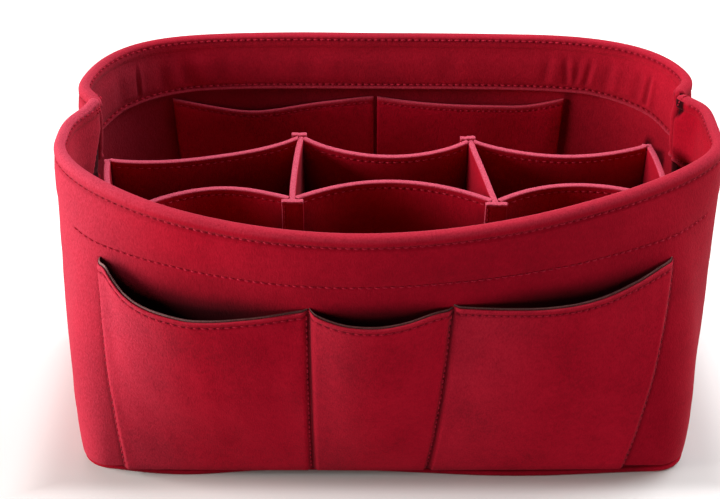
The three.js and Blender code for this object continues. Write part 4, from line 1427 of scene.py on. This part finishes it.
# smooth white paper: diffuse, plus a glow for the camera only, which is
# 0 in a rectangle about the object and comes in over a band round it
def paperFinish(c):
    material, tree, out = newMaterial("paleFloor")
    isCamera = addNode(tree, "ShaderNodeLightPath").outputs["Is Camera Ray"]
    # the camera sees a white floor; the object gets only a weak bounce from it
    grey = addNode(tree, "ShaderNodeMapRange", {0: isCamera},
                   in_3=c["floorBounce"], in_4=c["floor"])
    diffuse = addNode(tree, "ShaderNodeBsdfDiffuse", {0: grey.outputs[0]})
    # no glow under the object, so that its shadow stays dark where it stands
    where = addNode(tree, "ShaderNodeTexCoord").outputs["Object"]
    wide, deep = c["shadeReach"]
    scaled = addNode(tree, "ShaderNodeMapping", {"Vector": where}, in_Scale=(1 / wide, 1 / deep, 1))
    away = addNode(tree, "ShaderNodeVectorMath", {0: scaled.outputs[0]}, operation="ABSOLUTE")
    parts = addNode(tree, "ShaderNodeSeparateXYZ", {0: away.outputs[0]})
    far = reckon(tree, "MAXIMUM", parts.outputs[0], parts.outputs[1])
    ring = addNode(tree, "ShaderNodeMapRange", {0: far}, interpolation_type="SMOOTHSTEP",
                   in_1=1.0, in_2=c["shadeEnd"], in_4=c["floorGlow"])
    # far off, where the lamps don't reach, the floor goes on as a white backdrop
    start, end = c["backdrop"]
    beyond = addNode(tree, "ShaderNodeMapRange", {0: far},
                     in_1=start, in_2=end, in_4=c["backdropGlow"])
    strength = reckon(tree, "ADD", ring.outputs[0], beyond.outputs[0])
    strength = reckon(tree, "MULTIPLY", isCamera, strength)
    glow = addNode(tree, "ShaderNodeEmission", {1: strength})
    both = addNode(tree, "ShaderNodeAddShader", {0: diffuse.outputs[0], 1: glow.outputs[0]})
    tree.links.new(both.outputs[0], out.inputs[0])
    return material


# floor plane, world and area lamps that look at the object's middle
def makeStage(c):
    half = c["floorSize"]
    points = np.array([(-half, -half, 0), (half, -half, 0), (half, half, 0), (-half, half, 0)]) / mm
    floor = addMesh("floor", points, [[0, 1, 2, 3]], smooth=False)
    floor.data.materials.append(paperFinish(c))
    # studio light: white to the camera, faint to the object
    world = bpy.data.worlds.new("studio")
    bpy.context.scene.world = world
    world.use_nodes = True
    tree = world.node_tree
    tree.nodes.clear()
    isCamera = addNode(tree, "ShaderNodeLightPath").outputs["Is Camera Ray"]
    strength = addNode(tree, "ShaderNodeMapRange", {0: isCamera}, in_3=c["world"], in_4=1.0)
    background = addNode(tree, "ShaderNodeBackground", {1: strength.outputs[0]}, in_0=(1, 1, 1, 1))
    out = addNode(tree, "ShaderNodeOutputWorld")
    tree.links.new(background.outputs[0], out.inputs[0])
    for name, turn, rise, distance, size, power, colour in c["lamps"]:
        lamp = bpy.data.lights.new(name, "AREA")
        lamp.shape, lamp.size, lamp.energy = "DISK", size, power
        lamp.color = linear(colour)[:3]
        obj = bpy.data.objects.new(name, lamp)
        bpy.context.scene.collection.objects.link(obj)
        a, e = math.radians(turn), math.radians(rise)
        back = np.array([math.sin(a) * math.cos(e), -math.cos(a) * math.cos(e), math.sin(e)])
        obj.location = np.array(c["aim"]) + back * distance
        obj.rotation_euler = (math.pi / 2 - e, 0, a)


makeStage(stage)
bpy.context.scene.view_settings.view_transform = "Standard"
print("stage set")
